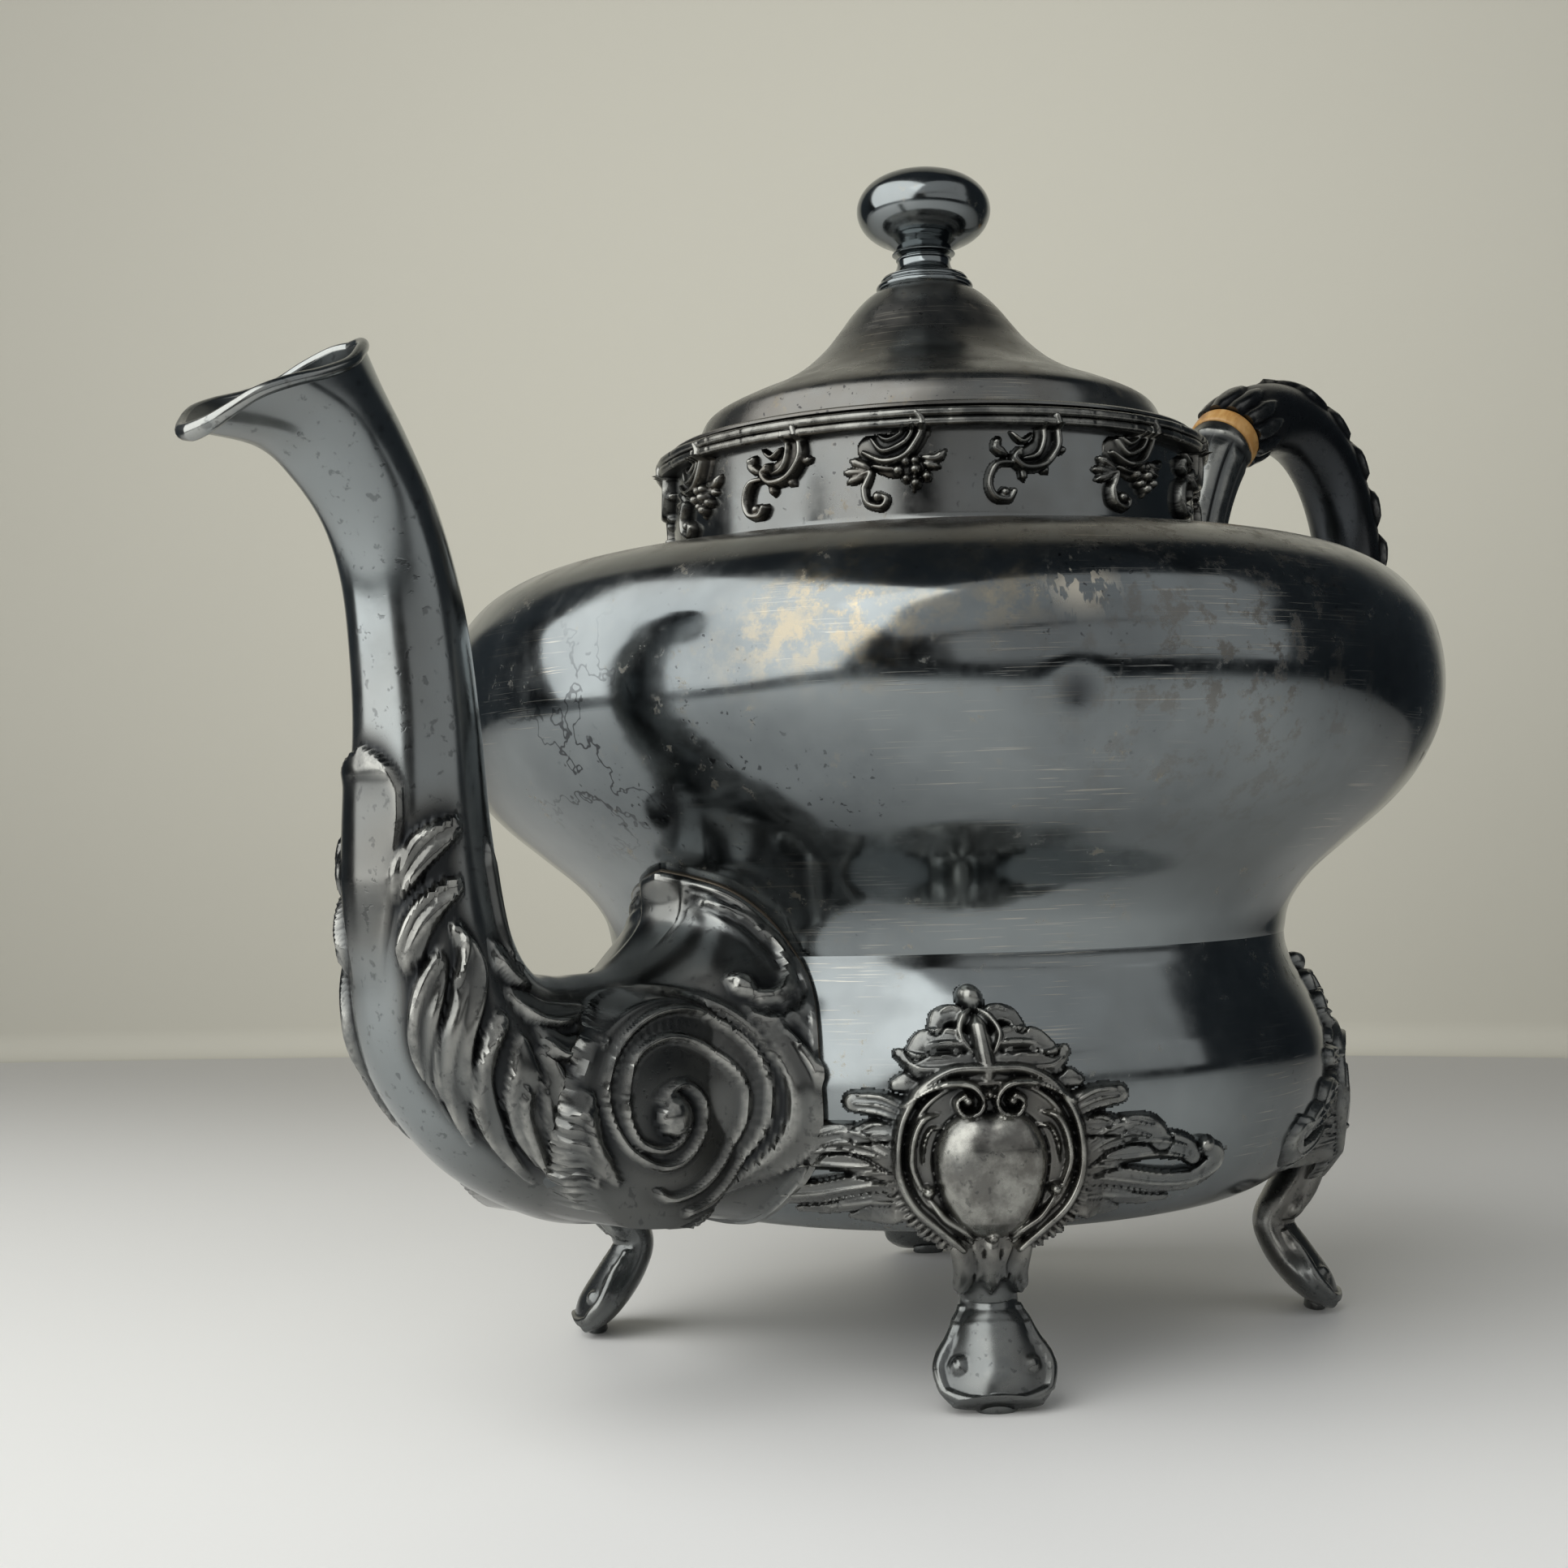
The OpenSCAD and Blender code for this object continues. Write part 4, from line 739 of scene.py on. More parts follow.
scrolls = carve(np.zeros(len(chart)), chart, voluteLeaves, "plate")
carve(scrolls, chart, voluteFolds, "fold")
zone = np.flatnonzero(seen & (fromMiddle < 21))
toOuter, _, outerSide = besideLine(chart[zone], smoothLine(volute["outerLine"], 8))
toInner, along, innerSide = besideLine(chart[zone], smoothLine(volute["innerLine"], 8))
runLength = np.linalg.norm(np.diff(smoothLine(volute["innerLine"], 8), axis=0), axis=1).sum()
beside = np.minimum(toOuter, toInner)
ridge = np.clip(1 - (beside / volute["ridge"])**2, 0, 1)**0.8
channel = (outerSide < 0) & (innerSide > 0) & (toOuter + toInner < 6)
ribs = np.maximum(np.sin(2 * math.pi * along * runLength / volute["ribGap"]), 0)**0.6
wall = np.clip((toInner - 0.5) / 1.4, 0, 1) * np.clip((toOuter - 0.5) / 2.2, 0, 1)
hollow = (outerSide > 0) & (innerSide < 0) & (fromMiddle[zone] < 14.5)
form = volute["ridgeHeight"] * ridge + channel * (1 - ridge) * (volute["ribHeight"] * ribs - 0.15)
form -= hollow * volute["dish"] * wall * wall * (3 - 2 * wall)
button = np.clip(1 - (fromMiddle[zone] / 2.7)**2, 0, 1)
form = np.maximum(form, np.where(fromMiddle[zone] < 2.7, 0.9 + 1.3 * np.sqrt(button), -9))
flat = np.clip((17.5 - fromMiddle[zone]) / 1.5, 0, 1)
scrolls[zone] = scrolls[zone] * (1 - flat) + form * np.maximum(flat, ridge)
curls = carve(np.zeros(len(near)), near[:, [0, 2]], curlPlates, "plate")
carve(curls, near[:, [0, 2]], curlFolds, "fold")
curls = np.maximum(curls, ballLift(near[:, [0, 2]], [((66, 62.4), 1.9, 1.7)]))
detail = scrolls + curls
carving = np.where(seen & (detail != 0), np.where(detail < 0, detail, np.maximum(carving, detail)), carving)
carving = carving.reshape(spoutSkin.shape[:2])

# front leaf: a smooth plate with a folded tip
leaf = {"tip": 97.9,
        "widthAt": [(66, 3.4), (75, 5.2), (82, 6.1), (88, 6.5), (92, 6.3), (94.6, 5.2), (96.6, 3.4),
                    (97.9, 0.2)],
        "lift": 1.05}
half = np.interp(near[:, 2], [p[0] for p in leaf["widthAt"]], [p[1] for p in leaf["widthAt"]])
frontal = nearFacing[:, 0] > 0.05
edge = np.clip((half - near[:, 1]) / 0.7, 0, 1) * frontal * (near[:, 2] < leaf["tip"]) * (near[:, 2] > 66)
plate = leaf["lift"] * edge**0.5 * np.interp(near[:, 2], [66, 80], [0, 1])
roll = 0.45 * np.exp(-((near[:, 2] - 95) / 1.7)**2) * edge
groove = 0.5 * np.exp(-((near[:, 1] - half - 0.35) / 0.35)**2) * frontal
groove = groove * (near[:, 2] < leaf["tip"] + 0.6) * np.interp(near[:, 2], [72, 80], [0, 1])
serration = 0.16 * np.exp(-((near[:, 1] - half - 1.1) / 0.5)**2) * (np.sin(near[:, 2] * 8) > 0) * frontal
serration = serration * (near[:, 2] > 84) * (near[:, 2] < 96)
carving = np.maximum(carving, (plate + roll).reshape(carving.shape))
carving = carving - (groove + serration).reshape(carving.shape)
down = np.cumsum(np.linalg.norm(np.diff(spoutSkin, axis=0), axis=2), axis=0)
down = np.vstack([np.zeros((1, spout["sides"])), down])
lip = 0.7 * np.exp(-((down - 1.5) / 0.5)**2) + 0.35 * np.exp(-((down - 2.8) / 0.35)**2)
lip += 0.25 * np.exp(-((down - 5.4) / 0.6)**2) * (fold[None, :] < 110)
carving = np.maximum(carving, lip)
carving[0] = 0

outer = spoutSkin + spoutOut * carving[..., None]
coarse = np.r_[len(outer) - 1:4:-6]
inner = spoutSkin[coarse] - spoutOut[coarse] * spout["wall"]
shellRows = np.concatenate([outer, inner])
lift = np.vstack([carving, np.zeros(inner.shape[:2])])
wear = wearOf(carving, 3, True)
# painted shade, darker round the volute and wherever the spout is carved
ornament_shade = np.clip((34 - fromMiddle) / 12, 0, 1).reshape(carving.shape) * 0.75
ornament_shade = np.maximum(ornament_shade, 0.7 * np.clip(blurred(np.abs(carving), 5, True) * 2.2, 0, 1))
wear["ornament_shade"] = ornament_shade
hidden = np.zeros(inner.shape[:2])
wear = {key: np.vstack([value, hidden + (0.6 if key == "recess" else 0)]) for key, value in wear.items()}
faces = gridFaces(len(shellRows), spout["sides"], True, True)
makePiece("spout_casting", shellRows, faces, "pot", ["spout"], spoutSilver, 60, wear)


def tube(line, radii, sides, closed=False, flat=1.0):
    # round bar along a line of points; flat squeezes it towards its own run
    line = np.asarray(line, float)
    run = (np.roll(line, -1, 0) - np.roll(line, 1, 0)) if closed else np.gradient(line, axis=0)
    run /= np.linalg.norm(run, axis=1)[:, None]
    side = np.cross(run, [0.13, 0.21, 0.97])
    side /= np.linalg.norm(side, axis=1)[:, None]
    other = np.cross(run, side)
    a = np.linspace(0, 2 * math.pi, sides, endpoint=False)
    radii = np.broadcast_to(np.asarray(radii, float), len(line))
    points = line[:, None] + radii[:, None, None] * (np.cos(a)[None, :, None] * side[:, None] * flat +
                                                   np.sin(a)[None, :, None] * other[:, None])
    faces = gridFaces(len(line), sides, True, closed).tolist()
    if not closed:
        last = (len(line) - 1) * sides
        faces += [list(range(sides))[::-1], [last + k for k in range(sides)]]
    return points.reshape(-1, 3), faces


beadLine = mouthRim + np.column_stack([-0.1 * np.ones(len(turn)), np.zeros(len(turn)),
                                       -0.15 * np.ones(len(turn))])
thick = spout["beadRadius"] * (1 + 0.5 * np.exp(-((fold - 180) / 22)**2))
points, faces = tube(beadLine, thick, 14, True)
makePiece("spout_lip_bead", points, faces, "pot", [], spoutSilver, 60,
          {"recess": np.zeros(len(points)), "worn": np.full(len(points), 0.6)})
solderLine = onBody(flangeAngle, flangeHeight, 0.05)
points, faces = tube(solderLine, 0.4, 8, True)
solder = oxidisedSilver("old_solder", (0.13, 0.11, 0.085, 1), (0.05, 0.04, 0.03, 1), (0.5, 0.42, 0.3, 1),
                        0.5, 0.6)
makePiece("spout_solder_line", points, faces, "pot", [], solder, 60,
          {"recess": np.zeros(len(points)), "worn": np.zeros(len(points))})
print("spout ready")


foot = {
    "angles": {"foot_front_left": 225, "foot_front_right": 135, "foot_rear_left": 315, "foot_rear_right": 45},
    "gap": 0.23, "reach": 41.0, "low": 22.4, "high": 62.5, "lean": 2.2, "leanFrom": 49.0,
    "hangHalf": 17.0, "hangTop": 46.5, "crestFrom": 44.0, "shieldBack": -0.75,
    "plate": (13.2, 13.0, 36.8), "plateLift": 2.2,
    "boss": (8.3, 8.0, 11.2, 36.4), "bossLift": 3.9,
    # distance from the axis, height, half-width and half-thickness down the leg
    "leg": [(62.4, 31, 5.5, 2.2), (60.4, 24.5, 5.5, 3.0), (57, 19, 5.0, 3.1), (55, 15.3, 4.3, 2.9),
            (56.2, 11.2, 5.6, 2.9), (58.7, 7.3, 8.3, 2.9), (61.6, 3.8, 8.6, 2.5), (64.2, 1.5, 6.6, 1.3)],
    "skin": [(60.5, 22.4), (63.1, 28), (63.7, 38.5), (63.7, 46.5)],
}
frameStrands = [
    ([(0, 49.4), (5.3, 49.2), (9.7, 47), (12.3, 43.3), (13.3, 39), (13.1, 34.3), (11.1, 30.1), (7.7, 26.8),
      (5.3, 24.6),
      (4.1, 23.4)], 0.95, 3.3, 1, 0.8),
    ([(0, 47.6), (4.6, 47.5), (8.3, 45.5), (10.7, 42.4), (11.7, 38.8), (11.5, 34.8), (9.8, 31.2), (6.9, 28.4),
      (4.6, 26.3),
      (3.0, 24.6)], 0.7, 2.9, 1, 0.8),
    ([(12.6, 44.7), (8.7, 47), (5.3, 47.7), (2.4, 47.3), (1, 45.6), (1.7, 43.7), (3.9, 43.4), (4.8, 45.2),
      (3.6, 46.2)],
     0.75, 4.5, 0.5, 0.9),
    ([(7.3, 43.5), (9.7, 42.8), (11.1, 40), (11.4, 36.2), (10.2, 32.9)], 0.85, 3.9, 0.4, 0.8),
    ([(9.2, 31.5), (7, 28.6), (4.4, 26.7), (2.9, 25.3)], 0.85, 3.7, 0.6, 0.6),
    ([(6.6, 41.6), (8.6, 41.3), (9.7, 38.8), (9.8, 35.5)], 0.5, 3.2, 0.5, 0.4),
]
# broad leaves, the lowest first, and the folds along them: distance from the middle, then height
footLeaves = [
    ([(13, 31.4), (17.5, 30.2), (23, 29.4), (27.4, 28.4)], 1.7, 1.3, 1, 0.3),
    ([(12, 29.4), (16, 28), (19.6, 27.4)], 1.3, 1.2, 1, 0.4),
    ([(14, 33.8), (20, 32.6), (26, 31.2), (31, 31.0), (34.2, 32.6), (35.2, 34.6), (33.6, 35.8)],
     1.75, 1.5, 1, 0.8),
    ([(15, 36), (20, 36.8), (25, 37.2), (29.4, 36.4), (31.4, 34.6)], 2.3, 1.5, 1, 0.6),
    ([(14, 37.4), (17, 39.2), (21, 40.2), (24.4, 39.6), (26, 37.8)], 2.2, 1.7, 1, 0.7),
    ([(13, 41), (16.5, 41.2), (19, 40.4)], 1.6, 1.5, 1, 0.7),
    ([(12, 43.6), (15.6, 44.9), (19.4, 45.2)], 2.0, 1.7, 1, 0.8),
    ([(8, 47), (11, 48), (13.2, 47.6)], 1.5, 1.5, 1, 0.7),
    ([(2.6, 50.6), (6.4, 50.4), (9.6, 50.4), (12, 51.8)], 1.9, 2.0, 0.8, 0.5),
    ([(1.4, 53), (4.6, 53.6), (7.8, 53.4), (9.8, 52.2)], 1.8, 2.2, 0.5, 0.7),
    ([(0.8, 56), (3.0, 57), (5.0, 56.6), (6.2, 55.2)], 1.5, 2.1, 0.6, 0.7),
]
footFolds = [
    ([(13, 32.2), (18, 31), (24, 30)], 0.45, 0.5, 0.6, 0.2),
    ([(14, 30.6), (19, 29.6), (24, 28.9)], 0.45, 0.4, 0.6, 0.2),
    ([(14, 35.2), (20, 34.2), (26, 32.8), (31, 32.4)], 0.5, 0.55, 0.6, 0.4),
    ([(14, 33.4), (20, 32.2), (26, 31), (31.6, 30.8), (35.8, 32.6), (37, 35.2)], 0.5, 0.5, 0.6, 0.6),
    ([(14.6, 38.6), (17.4, 40.2), (21, 41), (24.6, 40.2)], 0.5, 0.5, 0.6, 0.4),
    ([(15, 37.4), (18, 38.8), (21.4, 39.4), (24.4, 38.6)], 0.45, 0.5, 0.6, 0.4),
    ([(16, 37.2), (21, 38), (26, 37.8), (30, 36.6)], 0.45, 0.5, 0.6, 0.4),
    ([(16, 35.6), (21, 35.8), (26, 35.8), (30.4, 34.8)], 0.45, 0.5, 0.6, 0.4),
    ([(13.4, 41.8), (16.6, 42), (18.8, 41)], 0.4, 0.4, 0.6, 0.4),
    ([(13.6, 40.4), (16.4, 40.6), (18.4, 40)], 0.4, 0.4, 0.6, 0.4),
    ([(12.8, 44.6), (15.6, 46), (18.8, 46.2)], 0.5, 0.5, 0.6, 0.4),
    ([(13, 43.6), (16, 44.8), (19.4, 45)], 0.45, 0.5, 0.6, 0.4),
    ([(13.4, 42.8), (16.4, 43.8), (19, 44)], 0.4, 0.4, 0.6, 0.4),
    ([(3, 51.6), (6.4, 51.4), (9.4, 51.3), (11.6, 52.2)], 0.45, 0.5, 0.6, 0.4),
    ([(3.4, 50), (6.8, 49.5), (9.6, 49.6), (11.4, 50.6)], 0.45, 0.45, 0.6, 0.4),
    ([(2, 54), (4.8, 54.6), (7.6, 54.3)], 0.5, 0.5, 0.6, 0.4),
    ([(2.2, 52.6), (5, 52.8), (8, 52.6)], 0.45, 0.5, 0.6, 0.4),
    ([(1.2, 56.8), (3.2, 57.6), (5, 57)], 0.45, 0.5, 0.6, 0.4),
]
fringe = []
for k in range(35):
    a = math.radians(-66 + 4.4 * k)
    far = 1.11 + 0.02 * math.sin(2.2 * k) + 0.04 * math.cos(a)
    fringe.append(([(13.2 * math.cos(a), 36.8 + 13.1 * math.sin(a)),
                    (13.2 * far * math.cos(a), 36.8 + 12.8 * far * math.sin(a))], 0.62, 1.7, 1, 0.8))
fringe = [f for f in fringe if f[0][1][1] < 48]
beads = [((3.2, 45.4), 1.2, 4.6), ((9.2, 32.4), 1.3, 4.2), ((33.6, 36.2), 1.4, 2.0), ((20.6, 40.6), 1.5, 2.2)]
midBeads = [((0, 59.4), 2.1, 3.0), ((0, 25.3), 1.2, 4.0), ((0, 46.2), 1.0, 4.0)]
midStrands = [([(0, 56.4), (0, 54.4), (0, 51.8), (0, 48.4)], 1.7, 3.3, 0.4, 0.8),
              ([(-0.5, 57.4), (-2.1, 56), (-2.9, 53.8), (-1.6, 51.6)], 0.75, 2.9, 0.5, 0.6),
              ([(0.5, 57.4), (2.1, 56), (2.9, 53.8), (1.6, 51.6)], 0.75, 2.9, 0.5, 0.6)]
legStrands = mirrored([
    ([(4.9, 24), (4.2, 20.6), (4.4, 18.2), (5.6, 17)], 0.9, 1.2, 0.8, 0.9),
    ([(2.4, 24), (1.4, 21), (2.2, 18.6)], 0.6, 0.8, 0.8, 0.4),
    ([(4.2, 14), (6.4, 9.8), (8.2, 6.6), (7.6, 3.6)], 0.75, 0.8, 0.6, 0.9),
    ([(0, 1.9), (4, 2.1), (7.4, 3.4)], 0.8, 0.9, 1, 0.7),
    ([(3.4, 21), (3.2, 18.4), (4.4, 16.6), (6.2, 16.6), (6, 18.2)], 0.6, 0.9, 0.6, 0.8),
]) + [([(0, 24), (0, 21.6), (0, 19.2), (0, 17.4)], 1.3, 1.5, 0.8, 0.5)]
toeSwell = [([(0, 13.6), (0, 9), (0, 5.6)], 6.8, 1.8, 0.6, 0.95)]
legBeads = [((5.5, 17.4), 1.5, 1.6), ((-5.5, 17.4), 1.5, 1.6), ((-5.4, 6.6), 1.2, 1.1),
            ((5.4, 6.6), 1.0, 0.8)]

acrossFoot = np.arange(-foot["reach"], foot["reach"] + 0.01, foot["gap"])
upFoot = np.arange(foot["low"], foot["high"], foot["gap"])
acrossHere, upHere = np.meshgrid(acrossFoot, upFoot)
lean = foot["lean"] * np.clip((upHere - foot["leanFrom"]) / 11.8, 0, 1)
chart = np.column_stack([np.abs(acrossHere + lean).ravel(), upHere.ravel()])
plain = np.column_stack([(acrossHere + lean).ravel(), upHere.ravel()])
wideHalf, tallHalf, plateMiddle = foot["plate"]
oval = 1 - (chart[:, 0] / wideHalf)**2 - ((chart[:, 1] - plateMiddle) / tallHalf)**2
footLift = carve(np.zeros(len(chart)), chart, footLeaves, "plate")
carve(footLift, chart, footFolds, "fold")
footLift = np.maximum(footLift, strandLift(chart, fringe))
footLift = np.maximum(footLift, foot["plateLift"] * np.clip(oval * 6, 0, 1)**0.5)
bossWide, bossUp, bossDown, bossMiddle = foot["boss"]
above = chart[:, 1] > bossMiddle
dip = 0.9 * np.exp(-(chart[:, 0] / 1.8)**2) * above
narrow = 1 + 0.12 * np.clip((bossMiddle - chart[:, 1]) / bossDown, 0, 1)
bossOval = 1 - (np.abs(chart[:, 0]) * narrow / bossWide)**2.2 - \
    (np.abs(chart[:, 1] - bossMiddle) / (np.where(above, bossUp, bossDown) - dip))**2.2
boss = foot["bossLift"] * np.clip(bossOval, 0, 1)**0.5
footLift -= 0.5 * np.exp(-(bossOval / 0.08)**2) * (chart[:, 1] < 46)
footLift = np.maximum(footLift, np.where(boss > 0, 1.7 + boss, 0))
for part in (strandLift(chart, frameStrands), ballLift(chart, beads), ballLift(plain, midBeads),
             strandLift(plain, midStrands)):
    footLift = np.maximum(footLift, part)
footLift = footLift.reshape(acrossHere.shape)
footWear = wearOf(footLift, 4, False, 0.5)
footWear["recess"] = footWear["recess"] * 0.75
footWear["worn"] = np.maximum(footWear["worn"], 0.75 * np.clip(boss / 1.5, 0, 1).reshape(acrossHere.shape))
hang = np.clip((foot["hangHalf"] - np.abs(acrossHere)) / 3, 0, 1)
hangSkin = np.interp(upHere, [p[1] for p in foot["skin"]], [p[0] for p in foot["skin"]])
hangHere = hang * np.maximum(hangSkin - skinRadius(upHere), 0) * (upHere < foot["hangTop"])
reachHere = skinRadius(upHere) + hangHere
tiltOut, tiltUp = skinTilt(upHere)
tiltUp = np.maximum(tiltUp, 0)

legLine = smoothLine(foot["leg"], 12)
legRun = np.gradient(legLine[:, :2], axis=0)
legRun /= np.linalg.norm(legRun, axis=1)[:, None]
ringTurn = np.linspace(0, 2 * math.pi, 72, endpoint=False)
squareness = 0.85
cosine = np.sign(np.cos(ringTurn)) * np.abs(np.cos(ringTurn))**squareness
sine = np.sign(np.sin(ringTurn)) * np.abs(np.sin(ringTurn))**squareness
legPoints = np.stack([legLine[:, :1] - legRun[:, 1:] * legLine[:, 3:] * sine, legLine[:, 2:3] * cosine,
                      legLine[:, 1:2] + legRun[:, :1] * legLine[:, 3:] * sine], -1)
legOut = gridNormals(legPoints)
if legOut[40, 18, 0] < 0:
    legOut = -legOut
legFlat = legPoints.reshape(-1, 3)
frontal = np.clip(legOut.reshape(-1, 3)[:, 0] * 2.5, 0, 1)
legChart = legFlat[:, 1:3]
legLift = np.maximum(strandLift(legChart, legStrands), ballLift(legChart, legBeads)) * frontal
legLift = legLift + carve(np.zeros(len(legChart)), legChart, toeSwell, "fold") * frontal
legLift = legLift.reshape(legPoints.shape[:2])
legWear = wearOf(legLift, 3, True, 0.3)
legSkin = legPoints + legOut * legLift[..., None]
legSkin[..., 2] = np.maximum(legSkin[..., 2], 0.05)
sole = {"reach": 62.2, "sides": 40, "stretch": 1.7,
        "rings": [(0.4, 0.0), (1.6, 0.0), (1.8, 0.3), (1.6, 1.7), (0.4, 1.9)]}
padTurn = np.linspace(0, 2 * math.pi, sole["sides"], endpoint=False)

for name, angle in foot["angles"].items():
    base = math.radians(angle)

    def place(lift):
        onCrest = upHere > foot["crestFrom"]
        radius = reachHere + lift * np.where(onCrest, tiltOut, 1)
        bearing = base + np.arcsin(np.clip(acrossHere / radius, -1, 1))
        return np.stack([radius * np.cos(bearing), radius * np.sin(bearing),
                         upHere + lift * np.where(onCrest, tiltUp, 0)], -1)

    points, faces, used = reliefPatch(place, footLift, 0.03, foot["shieldBack"])
    cos, sin = math.cos(base), math.sin(base)
    turnIt = np.array([[cos, sin, 0], [-sin, cos, 0], [0, 0, 1]])
    legHere = legSkin.reshape(-1, 3) @ turnIt
    legFaces = gridFaces(len(legLine), len(ringTurn)).tolist()
    last = (len(legLine) - 1) * len(ringTurn)
    legFaces += [list(range(len(ringTurn)))[::-1], [last + k for k in range(len(ringTurn))]]
    pad = np.concatenate([
        np.column_stack([sole["reach"] + r * np.cos(padTurn), sole["stretch"] * r * np.sin(padTurn),
                         np.full(sole["sides"], z)]) for r, z in sole["rings"]]) @ turnIt
    padRound = list(range(sole["sides"]))
    padTop = (len(sole["rings"]) - 1) * sole["sides"]
    padFaces = gridFaces(len(sole["rings"]), sole["sides"]).tolist()
    padFaces += [padRound[::-1], [padTop + k for k in padRound]]
    legStart, padStart = len(points), len(points) + len(legHere)
    faces = faces.tolist() + [[k + legStart for k in f] for f in legFaces]
    faces += [[k + padStart for k in f] for f in padFaces]
    wear = {key: np.concatenate([footWear[key].ravel()[used], legWear[key].ravel(),
                                 np.zeros(len(pad))]) for key in footWear}
    makePiece(name.replace("foot_", "cast_foot_"), np.vstack([points, legHere, pad]), faces, "pot",
              [name], castSilver, 70, wear)
print("feet ready")


border = {
    "wireRadius": 0.75, "depth": 2.9, "hingeWidth": 17.0, "motifs": 7, "firstAngle": 213.5, "clear": 16.5,
    "gap": 0.16,
}
mouldingMiddle = pot["collarHeight"] - 2 * border["wireRadius"]
hingeHalf = math.degrees(math.asin(border["hingeWidth"] / 2 / pot["collarRadius"])) + 0.6
bearing = np.radians(np.linspace(hingeHalf, 360 - hingeHalf, 700))
w = border["wireRadius"]
back = pot["collarRadius"]
front = back + border["depth"] - w
section = [(back, mouldingMiddle - 2 * w)]
for middleHeight in (mouldingMiddle - w, mouldingMiddle + w):
    section += [(front + w * math.cos(a), middleHeight + w * math.sin(a))
                for a in np.linspace(-math.pi / 2, math.pi / 2, 9)]
section += [(back, mouldingMiddle + 2 * w)]
section = np.array(section)
nick = 1 - 0.05 * (np.sin(bearing * 97) * np.sin(bearing * 13 + 1) > 0.75) - 0.02 * np.sin(bearing * 31)
reachOut = back + (section[:, :1] - back) * nick
mouldingPoints = np.stack([reachOut * np.cos(bearing), reachOut * np.sin(bearing),
                           np.repeat(section[:, 1:], len(bearing), 1)], -1)
mouldingPoints = mouldingPoints.transpose(1, 0, 2)
faces = gridFaces(len(bearing), len(section))[:, ::-1].tolist()
last = (len(bearing) - 1) * len(section)
faces += [list(range(len(section))), [last + k for k in range(len(section))][::-1]]
crest = np.repeat(((section[:, 0] - front) / w).clip(0, 1)[None], len(bearing), 0)
makePiece("collar_reeded_moulding", mouldingPoints, faces, "pot", ["rim_moulding"],
          borderSilver, 60, {"recess": np.where(crest < 0.25, 0.8, 0), "worn": crest * 0.8})

# strands of the two castings, sideways and up from the lower wire, and their beads
spray = [
    ([(-5.0, -3.2), (-1.85, -4.8), (1.3, -4.2), (3.4, -1.6), (4.2, 0.8), (3.4, 2.2)], 0.75, 2.2, 0.5, 0.8),
    ([(-3.7, -1.1), (-1.85, -3.2), (1.3, -2.1), (2.6, -0.3), (2.6, 1.2)], 0.6, 1.9, 0.5, 0.7),
    ([(-2.6, -0.6), (-1.2, -1.5), (0.8, -0.6), (1.4, 0.8)], 0.5, 1.6, 0.5, 0.7),
    ([(-4.4, -5.6), (-7.1, -4.2)], 0.9, 1.3, 0.8, 0.4), ([(-4.6, -6.2), (-8.2, -6.0)], 0.8, 1.2, 0.8, 0.4),
    ([(-4.6, -6.6), (-7.7, -7.6)], 0.8, 1.2, 0.8, 0.4),
    ([(-6.1, -6.9), (-4, -6.3), (-4.6, -8), (-5, -9), (-4.5, -11.1), (-2.4, -11.8), (-1.6, -10.6),
      (-2.6, -10)],
     0.7, 1.7, 0.5, 0.9),
    ([(-3.4, -5.4), (-1.4, -5.9), (0.4, -6.0)], 0.6, 1.3, 0.7, 0.5),
    ([(4.2, -4.4), (6.1, -4.6), (7.6, -3.4)], 0.85, 1.3, 0.6, 0.3),
    ([(4.4, -5.4), (6.6, -6.0)], 0.75, 1.2, 0.7, 0.4), ([(2.8, -6.6), (2.6, -9.6)], 0.5, 1.0, 0.7, 0.5),
]
sprayBeads = [((0.3, -6.3), 1.0, 1.9), ((2.9, -6.3), 1.0, 2.1), ((1.5, -5.0), 0.95, 1.9),
              ((2.9, -8.4), 0.95, 1.9), ((4.6, -7.4), 0.9, 1.8), ((2.8, -4.9), 0.85, 1.8),
              ((1.5, -7.6), 0.8, 1.6), ((-2.9, -10.2), 1.0, 1.9)]
scroll = [
    ([(4.4, 1.6), (5.0, -0.8), (4.8, -3.2), (2.6, -5.8), (-0.5, -6.3), (-2.1, -4.8), (-1.2, -3.6)],
     0.8, 2.2, 0.8, 0.8),
    ([(2.4, 1.0), (2.7, -1.6), (1.6, -4.2), (-0.6, -4.9)], 0.65, 1.8, 0.8, 0.5),
    ([(-3.4, -4.2), (-4.8, -3.2), (-4.4, -2)], 0.9, 1.5, 0.6, 0.7),
    ([(-1.6, -5.6), (-4.8, -5.8), (-6.1, -8.5), (-5.3, -10.8), (-3.2, -11.2), (-2.3, -10)],
     0.75, 1.8, 0.6, 0.9),
    ([(-0.8, -6.4), (-0.5, -8.2)], 0.8, 1.3, 0.8, 0.4), ([(2.2, -5.8), (3.4, -7.0)], 0.8, 1.3, 0.8, 0.4),
    ([(-2.4, -0.8), (-0.6, -2.2), (1.0, -1.0)], 0.5, 1.4, 0.5, 0.5),
    ([(5.2, -3.6), (6.6, -3.2)], 0.7, 1.3, 0.8, 0.4),
]
scrollBeads = [((-3.7, -10.2), 1.0, 1.9), ((-1.4, -4.2), 0.9, 2.1), ((-4.8, -2.4), 0.8, 1.7)]
plateSpray = [([(-4, -2.6), (0, -3), (3.4, 0)], 2.6, 0.8, 0.8, 0.8),
              ([(-2, -5.4), (3, -6)], 1.8, 0.7, 0.8, 0.8)]
plateScroll = [([(3.6, 1), (2.8, -3), (-0.6, -5)], 1.9, 0.8, 0.8, 0.8)]
wireLow = mouldingMiddle - 2 * w


